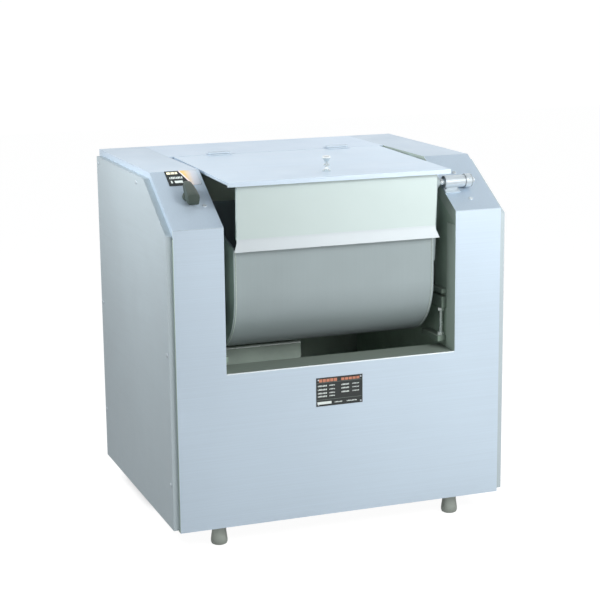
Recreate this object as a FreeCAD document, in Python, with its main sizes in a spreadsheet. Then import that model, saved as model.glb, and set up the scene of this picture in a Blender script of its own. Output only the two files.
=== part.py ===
import FreeCAD, Part
import math
import os

import Sketcher
from FreeCAD import Placement, Rotation, Vector

# Horizontal dough mixer, millimetres. X runs to the right, Y to the back, Z up.
# The origin is on the floor, under the middle of the body.

SIZES = {
    # Sheet-metal body
    "body_width": 850, "body_depth": 705, "body_height": 855, "face_height": 741, "slope_run": 192,
    "post_width": 124, "sill_height": 385, "foot_height": 56, "panel_sheet": 2, "return_depth": 50,
    "sill_depth": 90, "side_flange": 18, "edge_drop": 18, "inner_drop": 30, "seam_gap": 0.5,
    "rear_drop": 14, "cover_depth": 15, "cover_inset": 16, "cover_front_inset": 8,
    "cover_rear_inset": 30, "cover_bottom_gap": 6, "rear_cover_depth": 14, "rear_cover_inset": 20,
    # Welded frame
    "frame_bar": 40, "bar_wall": 4, "side_plate": 10, "foot_inset": 112, "foot_gap": 8,
    "foot_plate": 24, "gland_plate": 3, "gland_plate_width": 56,
    # Trough
    "axis_setback": 197, "axis_height": 560, "trough_radius": 150, "trough_wall": 3,
    "trough_gap": 38, "trough_end": 5, "front_rim": 118, "rear_rim": 190, "sleeve_radius": 40,
    "seal_radius": 30, "seal_length": 20, "hub_radius": 62, "hub_plate": 6, "bush_wall": 6,
    "housing_radius": 56, "housing_nose": 10, "housing_flange": 12, "housing_flange_radius": 76,
    "running_gap": 0.05, "bolt_circle_radius": 66, "bolt_radius": 5, "bolt_head_radius": 8,
    "bolt_head": 7, "bolt_tail": 3, "bolt_clearance": 0.3,
    # Supports beside the trunnions, and the shield in front of the motor
    "support_depth": 14, "support_front": 3, "support_length": 70, "support_drop": 45,
    "support_height": 30, "support_base_depth": 24, "support_base_length": 100,
    "support_base_drop": 146, "support_base_height": 14, "jack_inset": 9, "jack_radius": 5,
    "jack_nut_radius": 9, "jack_nut": 8, "cap_height": 12, "shield_width": 274,
    "shield_setback": 224, "shield_depth": 34, "shield_drop": 16, "shield_height": 80,
    # Mixing shaft and its bearings
    "shaft_radius": 22.5, "bearing_flange": 14, "bearing_length": 32, "bearing_flange_radius": 78,
    "bearing_hub_radius": 42, "shaft_overhang": 2, "paddle_count": 5, "paddle_margin": 55,
    "paddle_width": 72, "paddle_thickness": 10, "paddle_twist": 35, "paddle_reach": 138,
    "paddle_root": 74, "arm_width": 26, "arm_thickness": 14, "collar_radius": 35,
    "collar_length": 34,
    # Gears
    "gear_module": 4, "gear_teeth": 80, "pinion_teeth": 16, "gear_face": 30, "pinion_face": 34,
    "gear_offset": 46, "gear_web": 12, "gear_rim": 16, "gear_hub_radius": 40, "gear_backlash": 0.5,
    "pressure_angle": 20, "dedendum_share": 1.25, "addendum_share": 0.95, "gear_holes": 6,
    "gear_seat_radius": 21, "retainer_radius": 30, "retainer": 5, "gear_hole_margin": 14,
    "counter_angle": 50, "counter_radius": 17.5, "counter_housing_radius": 40,
    "counter_flange_radius": 58, "counter_bearing_radius": 31, "counter_bearing": 16,
    "counter_barrel_gap": 2, "pulley_side_gap": 1,
    # Belt drive and motor
    "pulley_gap": 4, "pulley_width": 35, "pulley_radius": 100, "motor_pulley_radius": 30,
    "groove_pitch": 15, "groove_depth": 11, "groove_top": 13, "groove_bottom": 9, "belt_width": 9,
    "belt_height": 8, "belt_sink": 1, "pulley_rim": 18, "pulley_web": 10, "pulley_hub_radius": 32,
    "motor_setback": 400, "motor_shaft_height": 100, "motor_plate": 8, "motor_radius": 92,
    "motor_length": 270, "motor_fan_length": 66, "motor_shaft_radius": 14, "motor_face_gap": 5,
    "motor_nose": 10, "motor_nose_radius": 32, "motor_cap_radius": 74, "motor_taper": 14,
    "motor_bore_depth": 40, "motor_foot": 14, "motor_foot_front": 60, "motor_foot_rear": 50,
    "saddle_inset": 15, "saddle_half": 55, "fan_cover_edge": 12, "terminal_start": 70,
    "terminal_length": 100, "terminal_width": 96, "terminal_height": 42, "motor_feet_spacing": 140,
    "motor_plate_length": 230, "motor_plate_depth": 200,
    # Lid
    "hinge_setback": 458, "hinge_gap": 3, "lid_gap": 13, "lid_front": 3, "lid_fall": 9,
    "lid_edge": 7, "lid_front_edge": 11, "apron_gap": 41, "apron_top_setback": 20,
    "apron_bottom_setback": 31, "apron_height": 703, "apron_return": 9, "apron_flange": 26,
    "lip_drop": 29, "lip_band": 11, "lip_reach": 6, "lip_flare": 8, "knuckle_radius": 4,
    "hinge_pin_radius": 2, "knuckle_gap": 0.3, "hinge_width": 60, "hinge_leaf": 20, "leaf_sheet": 2,
    "hinge_spacing": 330, "lid_knob_offset": -8, "lid_knob_setback": 85, "lid_knob_height": 38,
    "lid_knob_radius": 10.5, "rest_setback": 260, "rest_gap": 0.3, "rest_width": 16,
    "rest_length": 40,
    # Lock bolt on the right slope
    "lock_along": 94, "lock_foot": 3, "lock_radius": 15.5, "lock_overhang": 1, "lock_barrel": 57,
    "lock_edge": 1, "lock_bracket": 40, "lock_foot_half": 22, "lock_block_half": 12,
    "lock_block_inset": 5, "lock_pin_radius": 8, "pin_taper": 4, "lock_travel": 12,
    "lock_stop_gap": 0.5, "lock_cap_overlap": 1, "lock_cap_gap": 0.3, "lock_cap_wall": 1.7,
    "lock_cap_top": 3.5, "lock_ball": 13, "latch_gap": 8, "latch_plate": 6, "latch_boss": 7,
    "latch_radius": 16, "latch_boss_step": 2, "latch_tip_gap": 1.5, "latch_pin_gap": 0.3,
    "latch_root_front": 128, "latch_root_rear": 78, "latch_root_low": 48, "latch_root_high": 100,
    "latch_spacer_inset": 4,
    # Switch, plates and small parts
    "switch_inset": 72, "switch_along": 117, "switch_body": 44, "switch_depth": 46,
    "spindle_radius": 4, "spindle_gap": 2, "spindle_end_gap": 0.3, "dial_radius": 22,
    "dial_gap": 0.5, "dial_height": 9, "handle_length": 72, "handle_width": 28, "handle_height": 22,
    "label_width": 72, "label_depth": 50, "label_gap": 53, "label_plate": 1, "name_width": 122,
    "name_height": 72, "name_offset": -11, "name_bottom": 280, "name_plate": 1, "rivet_head": 1.2,
    "rivet_radius": 2, "name_margin": 5, "screw_head_radius": 5.5, "screw_head": 2.2,
    "cover_screw_inset": 17, "cover_screw_lead": 73, "rear_edge_low": 142, "rear_edge_high": 444,
    "front_screw_inset": 14, "front_edge_low": 119, "front_edge_high": 440, "back_screw_inset": 38,
    "back_screw_low": 60, "back_screw_middle": 430, "back_screw_drop": 30, "left_slope_screw": 23,
    "left_slope_along": 85, "right_slope_screw": 56, "right_slope_along": 150,
    "right_low_screw": 59, "right_low_along": 45, "foot_top_radius": 19.5, "foot_wide_radius": 26,
    "foot_body": 48, "stud_radius": 6, "stud_reach": 32, "foot_nut": 8, "gland_radius": 11,
    "gland_bore": 5.5, "gland_length": 24, "gland_thread": 9, "gland_nut": 6,
}

doc = FreeCAD.newDocument("DoughMixer")
sheet = doc.addObject("Spreadsheet::Sheet", "Sizes")
for row, (alias, number) in enumerate(SIZES.items(), 1):
    sheet.set(f"A{row}", alias)
    sheet.set(f"B{row}", str(number))
    sheet.setAlias(f"B{row}", alias)
doc.recompute()

# Planes and lines that the pieces share, as expressions of the sheet's cells

FRONT = "(-Sizes.body_depth / 2)"
REAR = "(Sizes.body_depth / 2)"
BOTTOM = "Sizes.foot_height"
DECK = "(Sizes.foot_height + Sizes.body_height)"
FACE_TOP = "(Sizes.foot_height + Sizes.face_height)"
SILL = "(Sizes.foot_height + Sizes.sill_height)"
HALF = "(Sizes.body_width / 2)"
BAY = "(Sizes.body_width / 2 - Sizes.post_width)"
SHEET = "Sizes.panel_sheet"
GRADE = "((Sizes.body_height - Sizes.face_height) / Sizes.slope_run)"
SLANT = f"sqrt(1 + {GRADE} * {GRADE})"
SLOPE_ANGLE = f"atan({GRADE})"
SLOPE_END = f"({FRONT} + Sizes.slope_run)"
PLATE_IN = f"({BAY} + {SHEET})"
PLATE_OUT = f"({BAY} + {SHEET} + Sizes.side_plate)"
FRAME_SIDE = f"({HALF} - {SHEET})"
FRAME_FRONT = f"({FRONT} + {SHEET})"
FRAME_REAR = f"({REAR} - Sizes.rear_cover_depth)"
FRAME_TOP = f"({BOTTOM} + Sizes.frame_bar)"
UNDER_DECK = f"({DECK} - {SHEET})"
AXIS_Y = f"({FRONT} + Sizes.axis_setback)"
AXIS_Z = f"({BOTTOM} + Sizes.axis_height)"
TROUGH_SIDE = f"({BAY} - Sizes.trough_gap)"
TROUGH_IN = f"({BAY} - Sizes.trough_gap - Sizes.trough_end)"
GEAR_CENTRES = "(Sizes.gear_module * (Sizes.gear_teeth + Sizes.pinion_teeth) / 2)"
COUNTER_Y = f"({AXIS_Y} + {GEAR_CENTRES} * cos(Sizes.counter_angle))"
COUNTER_Z = f"({AXIS_Z} - {GEAR_CENTRES} * sin(Sizes.counter_angle))"
MOTOR_Y = f"({FRONT} + Sizes.motor_setback)"
MOTOR_Z = f"({FRAME_TOP} + Sizes.motor_plate + Sizes.motor_shaft_height)"
HINGE_Y = f"({FRONT} + Sizes.hinge_setback - Sizes.hinge_gap / 2)"
HINGE_Z = f"({DECK} + Sizes.knuckle_radius)"
LID_REAR = f"({FRONT} + Sizes.hinge_setback - Sizes.hinge_gap)"
LID_FRONT = f"({FRONT} + Sizes.lid_front)"
LID_GRADE = "(Sizes.lid_fall / (Sizes.hinge_setback - Sizes.hinge_gap - Sizes.lid_front))"
LOCK_RISE = "(Sizes.lock_foot + Sizes.lock_radius)"
LATCH_IN = f"({TROUGH_SIDE} + Sizes.latch_gap)"
LATCH_OUT = f"({LATCH_IN} + Sizes.latch_plate + Sizes.latch_boss)"
PIN_TIP = f"({LATCH_OUT} + Sizes.latch_tip_gap)"
LOCK_FRONT = f"({BAY} - Sizes.lock_overhang)"
PULLEY_IN = f"({PLATE_OUT} + Sizes.pulley_gap)"
GEAR_MIDDLE = f"({PLATE_OUT} + Sizes.gear_offset + Sizes.gear_face / 2)"
FOOT_X = f"({HALF} - Sizes.foot_inset)"
FOOT_PLACES = [
    (f"{sign}{FOOT_X}", y) for sign in ("-", "+")
    for y in (f"({FRAME_FRONT} + Sizes.frame_bar + Sizes.foot_gap)",
              f"({FRAME_REAR} - Sizes.frame_bar - Sizes.foot_gap)")]
GLAND_X = f"(-({FRAME_SIDE} - Sizes.frame_bar / 2 + {FOOT_X}) / 2)"
GLAND_Y = f"({FRAME_REAR} - Sizes.frame_bar - Sizes.gland_plate_width / 2)"

PLANES = {"X": "YZ_Plane", "Y": "XZ_Plane", "Z": "XY_Plane"}
AXIS_TURN = {
    "X": Rotation(Vector(0, 1, 0), 90),
    "Y": Rotation(Vector(1, 0, 0), -90),
    "Z": Rotation(),
}

sub_parts = {}
counter = {"count": 0}


def value(expression):
    """The number that an expression of the sheet's cells gives."""
    return float(sheet.evalExpression(str(expression)))


def fresh(stem):
    """A document name that no other feature has."""
    counter["count"] += 1
    return f"{stem}_{counter['count']}"


def keep(node, feature):
    """Make a feature one of the sub-parts, under its node's name."""
    feature.Label = node
    sub_parts[node] = feature
    return feature


def move(feature, x="0", y="0", z="0"):
    """Bind a feature's position to expressions."""
    for letter, expression in zip("xyz", (x, y, z)):
        if str(expression) != "0":
            feature.setExpression(f".Placement.Base.{letter}", str(expression))
    return feature


def lay_on_slope(feature):
    """Set a body into the slope's own frame: X across, Y up the slope, Z outward."""
    feature.Placement = Placement(Vector(), Rotation(Vector(1, 0, 0), 10))
    feature.setExpression(".Placement.Rotation.Angle", SLOPE_ANGLE)
    return move(feature, y=FRONT, z=FACE_TOP)


def block(x, y, z):
    """A box between three pairs of planes."""
    feature = doc.addObject("Part::Box", fresh("Block"))
    for side, (low, high) in zip(("Length", "Width", "Height"), (x, y, z)):
        feature.setExpression(side, f"({high}) - ({low})")
    return move(feature, x[0], y[0], z[0])


def rod(axis, radius, low, high, first, second):
    """A cylinder along an axis, between two planes, through a point of the other two axes."""
    feature = doc.addObject("Part::Cylinder", fresh("Rod"))
    feature.Placement = Placement(Vector(), AXIS_TURN[axis])
    feature.setExpression("Radius", str(radius))
    feature.setExpression("Height", f"({high}) - ({low})")
    places = {"X": (low, first, second), "Y": (first, low, second), "Z": (first, second, low)}
    return move(feature, *places[axis])


def fuse(*features):
    feature = doc.addObject("Part::MultiFuse", fresh("Fuse"))
    feature.Shapes = list(features)
    return feature


def cut(base, *tools):
    feature = doc.addObject("Part::Cut", fresh("Cut"))
    feature.Base = base
    feature.Tool = tools[0] if len(tools) == 1 else fuse(*tools)
    return feature


def common(*features):
    feature = doc.addObject("Part::MultiCommon", fresh("Common"))
    feature.Shapes = list(features)
    return feature


def group(*features):
    """Separate solids that share one node."""
    feature = doc.addObject("Part::Compound", fresh("Group"))
    feature.Links = list(features)
    return feature


def new_body(stem="Body"):
    return doc.addObject("PartDesign::Body", fresh(stem))


def new_sketch(body, axis, offset="0"):
    """A sketch on one of the body's own planes, moved along the plane's axis."""
    sketch = body.newObject("Sketcher::SketchObject", fresh("Sketch"))
    roles = {feature.Role: feature for feature in body.Origin.OriginFeatures}
    sketch.AttachmentSupport = [(roles[PLANES[axis]], "")]
    sketch.MapMode = "FlatFace"
    if str(offset) != "0":
        sign = "-" if axis == "Y" else ""
        sketch.setExpression(".AttachmentOffset.Base.z", f"{sign}({offset})")
    return sketch


def draw_outline(sketch, points, arcs=None):
    """Draw a closed outline through points given as expression pairs.

    arcs maps the number of an edge to its centre and its sense; every other edge is straight.
    """
    arcs = arcs or {}
    first = len(sketch.Geometry)
    places = [(value(x), value(y)) for x, y in points]
    total = len(points)
    starts = {}
    ends = {}
    for edge in range(total):
        begin = Vector(*places[edge], 0)
        finish = Vector(*places[(edge + 1) % total], 0)
        if edge in arcs:
            middle_x, middle_y, sense = arcs[edge]
            middle = Vector(value(middle_x), value(middle_y), 0)
            low, high = (begin, finish) if sense == "ccw" else (finish, begin)
            angles = [math.atan2(point.y - middle.y, point.x - middle.x) for point in (low, high)]
            circle = Part.Circle(middle, Vector(0, 0, 1), (low - middle).Length)
            sketch.addGeometry(Part.ArcOfCircle(circle, *angles), False)
            starts[edge] = 1 if sense == "ccw" else 2
            ends[edge] = 3 - starts[edge]
        else:
            sketch.addGeometry(Part.LineSegment(begin, finish), False)
            starts[edge] = 1
            ends[edge] = 2
    for edge in range(total):
        after = (edge + 1) % total
        sketch.addConstraint(Sketcher.Constraint(
            "Coincident", first + edge, ends[edge], first + after, starts[after]))
    for edge in range(total):
        for kind, place, expression in zip(("DistanceX", "DistanceY"), places[edge], points[edge]):
            number = sketch.addConstraint(Sketcher.Constraint(
                kind, -1, 1, first + edge, starts[edge], place))
            sketch.setExpression(f"Constraints[{number}]", str(expression))
        if edge in arcs:
            number = sketch.addConstraint(Sketcher.Constraint(
                "DistanceY", -1, 1, first + edge, 3, value(arcs[edge][1])))
            sketch.setExpression(f"Constraints[{number}]", str(arcs[edge][1]))


def draw_circle(sketch, x, y, radius):
    """Draw a circle whose centre and radius are expressions."""
    number = len(sketch.Geometry)
    centre = Vector(value(x), value(y), 0)
    sketch.addGeometry(Part.Circle(centre, Vector(0, 0, 1), value(radius)), False)
    for kind, expression in (("DistanceX", x), ("DistanceY", y)):
        index = sketch.addConstraint(Sketcher.Constraint(kind, -1, 1, number, 3, value(expression)))
        sketch.setExpression(f"Constraints[{index}]", str(expression))
    index = sketch.addConstraint(Sketcher.Constraint("Radius", number, value(radius)))
    sketch.setExpression(f"Constraints[{index}]", str(radius))


def add_pad(body, axis, low, high, points, arcs=None, holes=()):
    """Pad an outline, less its round holes, between two planes across an axis."""
    sketch = new_sketch(body, axis, high if axis == "Y" else low)
    draw_outline(sketch, points, arcs)
    for hole in holes:
        draw_circle(sketch, *hole)
    pad = body.newObject("PartDesign::Pad", fresh("Pad"))
    pad.Profile = sketch
    pad.setExpression("Length", f"({high}) - ({low})")
    return pad


def add_pocket(body, axis, low, high, outlines):
    """Cut outlines out of a body between two planes across an axis."""
    for points in outlines:
        sketch = new_sketch(body, axis, low if axis == "Y" else high)
        draw_outline(sketch, points)
        pocket = body.newObject("PartDesign::Pocket", fresh("Pocket"))
        pocket.Profile = sketch
        pocket.setExpression("Length", f"({high}) - ({low})")
        pocket.Reversed = False
    return body


def padded(axis, low, high, points, arcs=None, holes=()):
    """A body made by one pad."""
    body = new_body()
    add_pad(body, axis, low, high, points, arcs, holes)
    return body


def turned(axis, points, x="0", y="0", z="0"):
    """A body of revolution. Each point is a radius and a distance along the axis."""
    body = new_body("Turned")
    sketch = new_sketch(body, "Y")
    draw_outline(sketch, points)
    turn = body.newObject("PartDesign::Revolution", fresh("Turn"))
    turn.Profile = sketch
    turn.ReferenceAxis = (sketch, ["V_Axis"])
    turn.Angle = 360
    body.Placement = Placement(Vector(), AXIS_TURN[axis])
    return move(body, x, y, z)


def rectangle(low_x, high_x, low_y, high_y):
    return [(low_x, low_y), (high_x, low_y), (high_x, high_y), (low_x, high_y)]


def slope_line(y, depth="0"):
    """Height of the plane that lies a depth below the slope's outer face, at a place y."""
    return f"({FACE_TOP} + {GRADE} * ({y} - {FRONT}) - ({depth}) * {SLANT})"


def knee(depth):
    """Where the slope and the deck meet, a depth below their outer faces."""
    drop = f"({depth})"
    return f"({FRONT} + (Sizes.body_height - Sizes.face_height - {drop} + {drop} * {SLANT}) / {GRADE})"


def lid_line(y, depth="0"):
    """Height of the plane that lies a depth below the lid's outer face, at a place y."""
    return f"({DECK} - {LID_GRADE} * ({LID_REAR} - {y}) - ({depth}))"


# Base frame: inverted channels butted against each other, foot plates and the gland's plate

def channel(x, y, along):
    """One inverted channel, open below and at its two ends."""
    wall = "Sizes.bar_wall"
    outside = block(x, y, (BOTTOM, FRAME_TOP))
    inside_x = x if along == "X" else (f"{x[0]} + {wall}", f"{x[1]} - {wall}")
    inside_y = y if along == "Y" else (f"{y[0]} + {wall}", f"{y[1]} - {wall}")
    return cut(outside, block(inside_x, inside_y, (BOTTOM, f"{FRAME_TOP} - {wall}")))


def build_base_frame():
    half_bar = "Sizes.frame_bar / 2"
    beam_front = f"({FRAME_FRONT} + Sizes.frame_bar)"
    beam_rear = f"({FRAME_REAR} - Sizes.frame_bar)"
    full_width = (f"-{FRAME_SIDE}", FRAME_SIDE)
    between = (beam_front, beam_rear)
    inner = f"({FOOT_X} - {half_bar})"
    pieces = [
        channel(full_width, (FRAME_FRONT, beam_front), "X"),
        channel(full_width, (beam_rear, FRAME_REAR), "X"),
        channel((f"-{FRAME_SIDE}", f"-{FRAME_SIDE} + Sizes.frame_bar"), between, "Y"),
        channel((f"{FRAME_SIDE} - Sizes.frame_bar", FRAME_SIDE), between, "Y"),
        channel((f"-{FOOT_X} - {half_bar}", f"-{inner}"), between, "Y"),
        channel((inner, f"{FOOT_X} + {half_bar}"), between, "Y")]
    for sign in ("-", "+"):
        middle = f"{MOTOR_Y} {sign} Sizes.motor_feet_spacing / 2"
        deep = (f"{middle} - {half_bar}", f"{middle} + {half_bar}")
        pieces.append(channel((f"-{inner}", inner), deep, "X"))
    half_plate = f"({half_bar} - Sizes.bar_wall)"
    for x, y in FOOT_PLACES:
        front = beam_front if FRONT in y else f"({beam_rear} - Sizes.foot_plate)"
        plate = block((f"{x} - {half_plate}", f"{x} + {half_plate}"), (front, f"{front} + Sizes.foot_plate"),
                      (BOTTOM, f"{BOTTOM} + Sizes.foot_nut"))
        pieces.append(cut(plate, rod("Z", "Sizes.stud_radius", BOTTOM, f"{BOTTOM} + Sizes.foot_nut", x, y)))
    gland_plate = block((f"-{FRAME_SIDE} + Sizes.frame_bar", f"-{FOOT_X} - {half_bar}"),
                        (f"{beam_rear} - Sizes.gland_plate_width", beam_rear),
                        (BOTTOM, f"{BOTTOM} + Sizes.gland_plate"))
    pieces.append(cut(gland_plate, rod(
        "Z", "Sizes.gland_thread", BOTTOM, f"{BOTTOM} + Sizes.gland_plate", GLAND_X, GLAND_Y)))
    keep("base_frame", group(*pieces))


build_base_frame()


# Corner uprights and side rails: angle iron

def angle_upright(side, end):
    """One upright: two legs of an angle, at a corner of the frame."""
    leg = "Sizes.frame_bar"
    wall = "Sizes.bar_wall"
    if end == "front":
        y = (FRAME_FRONT, f"{FRAME_FRONT} + {leg}")
        thin_y = (FRAME_FRONT, f"{FRAME_FRONT} + {wall}")
        top = slope_line(FRAME_FRONT, f"{SHEET} + {leg}")
    else:
        y = (f"{FRAME_REAR} - {leg}", FRAME_REAR)
        thin_y = (f"{FRAME_REAR} - {wall}", FRAME_REAR)
        top = UNDER_DECK
    if side == "left":
        x = (f"-{FRAME_SIDE}", f"-{FRAME_SIDE} + {leg}")
        thin_x = (f"-{FRAME_SIDE}", f"-{FRAME_SIDE} + {wall}")
    else:
        x = (f"{FRAME_SIDE} - {leg}", FRAME_SIDE)
        thin_x = (f"{FRAME_SIDE} - {wall}", FRAME_SIDE)
    height = (FRAME_TOP, top)
    return fuse(block(thin_x, y, height), block(x, thin_y, height))


def side_rail(side):
    """The bent angle under one slope and deck edge."""
    leg = "Sizes.frame_bar"
    wall = "Sizes.bar_wall"
    rail_rear = f"({FRAME_REAR} - {leg})"
    deep = f"{SHEET} + {leg}"
    thin = f"{SHEET} + {wall}"
    upright_leg = [
        (FRAME_FRONT, slope_line(FRAME_FRONT, SHEET)), (knee(SHEET), UNDER_DECK),
        (rail_rear, UNDER_DECK), (rail_rear, f"{UNDER_DECK} - {leg}"),
        (knee(deep), f"{UNDER_DECK} - {leg}"), (FRAME_FRONT, slope_line(FRAME_FRONT, deep))]
    flat_leg = [
        (FRAME_FRONT, slope_line(FRAME_FRONT, SHEET)), (knee(SHEET), UNDER_DECK),
        (rail_rear, UNDER_DECK), (rail_rear, f"{UNDER_DECK} - {wall}"),
        (knee(thin), f"{UNDER_DECK} - {wall}"), (FRAME_FRONT, slope_line(FRAME_FRONT, thin))]
    body = new_body()
    if side == "left":
        add_pad(body, "X", f"-{FRAME_SIDE}", f"-{FRAME_SIDE} + {wall}", upright_leg)
        add_pad(body, "X", f"-{FRAME_SIDE}", f"-{FRAME_SIDE} + {leg}", flat_leg)
    else:
        add_pad(body, "X", f"{FRAME_SIDE} - {wall}", FRAME_SIDE, upright_leg)
        add_pad(body, "X", f"{FRAME_SIDE} - {leg}", FRAME_SIDE, flat_leg)
    return body


def cross_beam(x_half, y, flange_at_rear):
    """One angle across the body, under the deck."""
    leg = "Sizes.frame_bar"
    wall = "Sizes.bar_wall"
    top = block((f"-{x_half}", x_half), y, (f"{UNDER_DECK} - {wall}", UNDER_DECK))
    thin_y = (f"{y[1]} - {wall}", y[1]) if flange_at_rear else (y[0], f"{y[0]} + {wall}")
    web = block((f"-{x_half}", x_half), thin_y, (f"{UNDER_DECK} - {leg}", UNDER_DECK))
    return fuse(top, web)


keep("corner_uprights", group(*[angle_upright(side, end)
                                for side in ("left", "right") for end in ("front", "rear")]))
keep("side_rails", group(side_rail("left"), side_rail("right")))
HINGE_BEAM_Y = f"({FRONT} + Sizes.hinge_setback + {SHEET})"
keep("cross_beams", group(
    cross_beam(f"({FRAME_SIDE} - Sizes.frame_bar)", (f"{FRAME_REAR} - Sizes.frame_bar", FRAME_REAR), True),
    cross_beam(PLATE_IN, (HINGE_BEAM_Y, f"{HINGE_BEAM_Y} + Sizes.frame_bar"), False)))


# Side plates that carry every bearing

def bolt_places(y, z, circle_radius):
    """Four bolt centres at 45 degrees round a bearing."""
    reach = f"({circle_radius} * sqrt(0.5))"
    return [(f"{y} {sy} {reach}", f"{z} {sz} {reach}") for sy in ("-", "+") for sz in ("-", "+")]


BOLT_HOLE = "(Sizes.bolt_radius + Sizes.bolt_clearance)"
HOUSING_HOLE = "(Sizes.housing_radius + Sizes.bolt_clearance)"
COUNTER_CIRCLE = "((Sizes.counter_housing_radius + Sizes.counter_flange_radius) / 2)"


def side_plate(side):
    low, high = (f"-{PLATE_OUT}", f"-{PLATE_IN}") if side == "left" else (PLATE_IN, PLATE_OUT)
    plate_rear = f"({FRAME_REAR} - Sizes.frame_bar)"
    outline = [
        (FRAME_FRONT, FRAME_TOP), (plate_rear, FRAME_TOP), (plate_rear, UNDER_DECK),
        (knee(SHEET), UNDER_DECK), (FRAME_FRONT, slope_line(FRAME_FRONT, SHEET))]
    holes = [(AXIS_Y, AXIS_Z, HOUSING_HOLE)]
    holes += [(y, z, BOLT_HOLE) for y, z in bolt_places(AXIS_Y, AXIS_Z, "Sizes.bolt_circle_radius")]
    if side == "left":
        holes.append((COUNTER_Y, COUNTER_Z, "Sizes.counter_housing_radius + Sizes.bolt_clearance"))
        holes += [(y, z, BOLT_HOLE) for y, z in bolt_places(COUNTER_Y, COUNTER_Z, COUNTER_CIRCLE)]
        holes.append((MOTOR_Y, MOTOR_Z, "Sizes.motor_shaft_radius * 2"))
    keep(f"{side}_side_plate", padded("X", low, high, outline, holes=holes))


side_plate("left")
side_plate("right")


# Front panel: one sheet with the bay cut out and its edges folded back

def build_front_panel():
    body = new_body()
    face = [
        (f"-{HALF}", BOTTOM), (HALF, BOTTOM), (HALF, FACE_TOP), (BAY, FACE_TOP), (BAY, SILL),
        (f"-{BAY}", SILL), (f"-{BAY}", FACE_TOP), (f"-{HALF}", FACE_TOP)]
    add_pad(body, "Y", FRONT, FRAME_FRONT, face)
    return_rear = f"{FRONT} + Sizes.return_depth"
    return_top = f"{FACE_TOP} - Sizes.inner_drop * {SLANT}"
    side_top = f"{FACE_TOP} - Sizes.edge_drop * {SLANT}"
    side_rear = f"{FRONT} + Sizes.side_flange"
    for sign in ("-", ""):
        inner = [f"{sign}{BAY}", f"{sign}{PLATE_IN}"]
        outer = [f"{sign}{FRAME_SIDE}", f"{sign}{HALF}"]
        if sign == "-":
            inner.reverse()
            outer.reverse()
        add_pad(body, "Z", f"{SILL} - {SHEET}", return_top, rectangle(*inner, FRONT, return_rear))
        add_pad(body, "Z", BOTTOM, side_top, rectangle(*outer, FRONT, side_rear))
    add_pad(body, "Z", f"{SILL} - {SHEET}", SILL,
            rectangle(f"-{PLATE_IN}", PLATE_IN, FRONT, f"{FRONT} + Sizes.sill_depth"))
    keep("front_panel", body)


build_front_panel()


# Box tops: the slope and deck of each side, with folded edges

SWITCH_X = f"(-{HALF} + Sizes.switch_inset)"


def box_top(side):
    rear_low = f"{DECK} - Sizes.rear_drop"
    top_sheet = [
        (FRAME_FRONT, slope_line(FRAME_FRONT)), (SLOPE_END, DECK), (REAR, DECK), (REAR, rear_low),
        (f"{REAR} - {SHEET}", rear_low), (f"{REAR} - {SHEET}", UNDER_DECK), (knee(SHEET), UNDER_DECK),
        (FRAME_FRONT, slope_line(FRAME_FRONT, SHEET))]

    def edge(depth, rear):
        return [
            (FRAME_FRONT, slope_line(FRAME_FRONT)), (SLOPE_END, DECK), (rear, DECK),
            (rear, f"{DECK} - {depth}"), (knee(depth), f"{DECK} - {depth}"),
            (FRAME_FRONT, slope_line(FRAME_FRONT, depth))]

    body = new_body()
    spans = [(BAY, HALF), (FRAME_SIDE, HALF), (BAY, PLATE_IN)]
    if side == "left":
        spans = [(f"-{high}", f"-{low}") for low, high in spans]
    hinge_front = f"({FRONT} + Sizes.hinge_setback)"
    add_pad(body, "X", *spans[0], top_sheet)
    add_pad(body, "X", *spans[1], edge("Sizes.edge_drop", REAR))
    add_pad(body, "X", *spans[2], edge("Sizes.inner_drop", hinge_front))
    if side == "right":
        return keep("right_box_top", body)
    half_hole = "(Sizes.spindle_radius + Sizes.spindle_gap)"
    hole = lay_on_slope(new_body())
    add_pad(hole, "Z", f"-{SHEET} * 2", SHEET, rectangle(
        f"{SWITCH_X} - {half_hole}", f"{SWITCH_X} + {half_hole}",
        f"Sizes.switch_along - {half_hole}", f"Sizes.switch_along + {half_hole}"))
    return keep("left_box_top", cut(body, hole))


box_top("left")
box_top("right")


# Rear deck between the box tops, and the rear cover

DECK_HALF = f"({BAY} - Sizes.seam_gap)"
DECK_FRONT = f"({FRONT} + Sizes.hinge_setback)"
REAR_LOW = f"({DECK} - Sizes.rear_drop)"
keep("rear_deck", padded("X", f"-{DECK_HALF}", DECK_HALF, [
    (DECK_FRONT, f"{DECK} - Sizes.edge_drop"), (f"{DECK_FRONT} + {SHEET}", f"{DECK} - Sizes.edge_drop"),
    (f"{DECK_FRONT} + {SHEET}", UNDER_DECK), (f"{REAR} - {SHEET}", UNDER_DECK),
    (f"{REAR} - {SHEET}", REAR_LOW), (REAR, REAR_LOW), (REAR, DECK), (DECK_FRONT, DECK)]))


def pan(node, outside, hollow, axis, back, face, sheet_face):
    """A shallow pan: an outline padded to the pan's depth, then hollowed from behind."""
    body = new_body()
    low, high = (back, face) if sheet_face == "high" else (face, back)
    add_pad(body, axis, low, high, outside)
    if sheet_face == "high":
        add_pocket(body, axis, low, f"{high} - {SHEET}", [hollow])
    else:
        add_pocket(body, axis, f"{low} + {SHEET}", high, [hollow])
    return keep(node, body)


def build_rear_cover():
    half = f"({HALF} - Sizes.rear_cover_inset)"
    low = f"({BOTTOM} + Sizes.cover_bottom_gap)"
    high = f"({REAR_LOW} - {SHEET})"
    outside = rectangle(f"-{half}", half, low, high)
    hollow = rectangle(f"-{half} + {SHEET}", f"{half} - {SHEET}", f"{low} + {SHEET}", f"{high} - {SHEET}")
    pan("rear_cover", outside, hollow, "Y", FRAME_REAR, REAR, "high")


build_rear_cover()


# Side covers: shallow pans, proud of the body, cut to the slope

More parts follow.
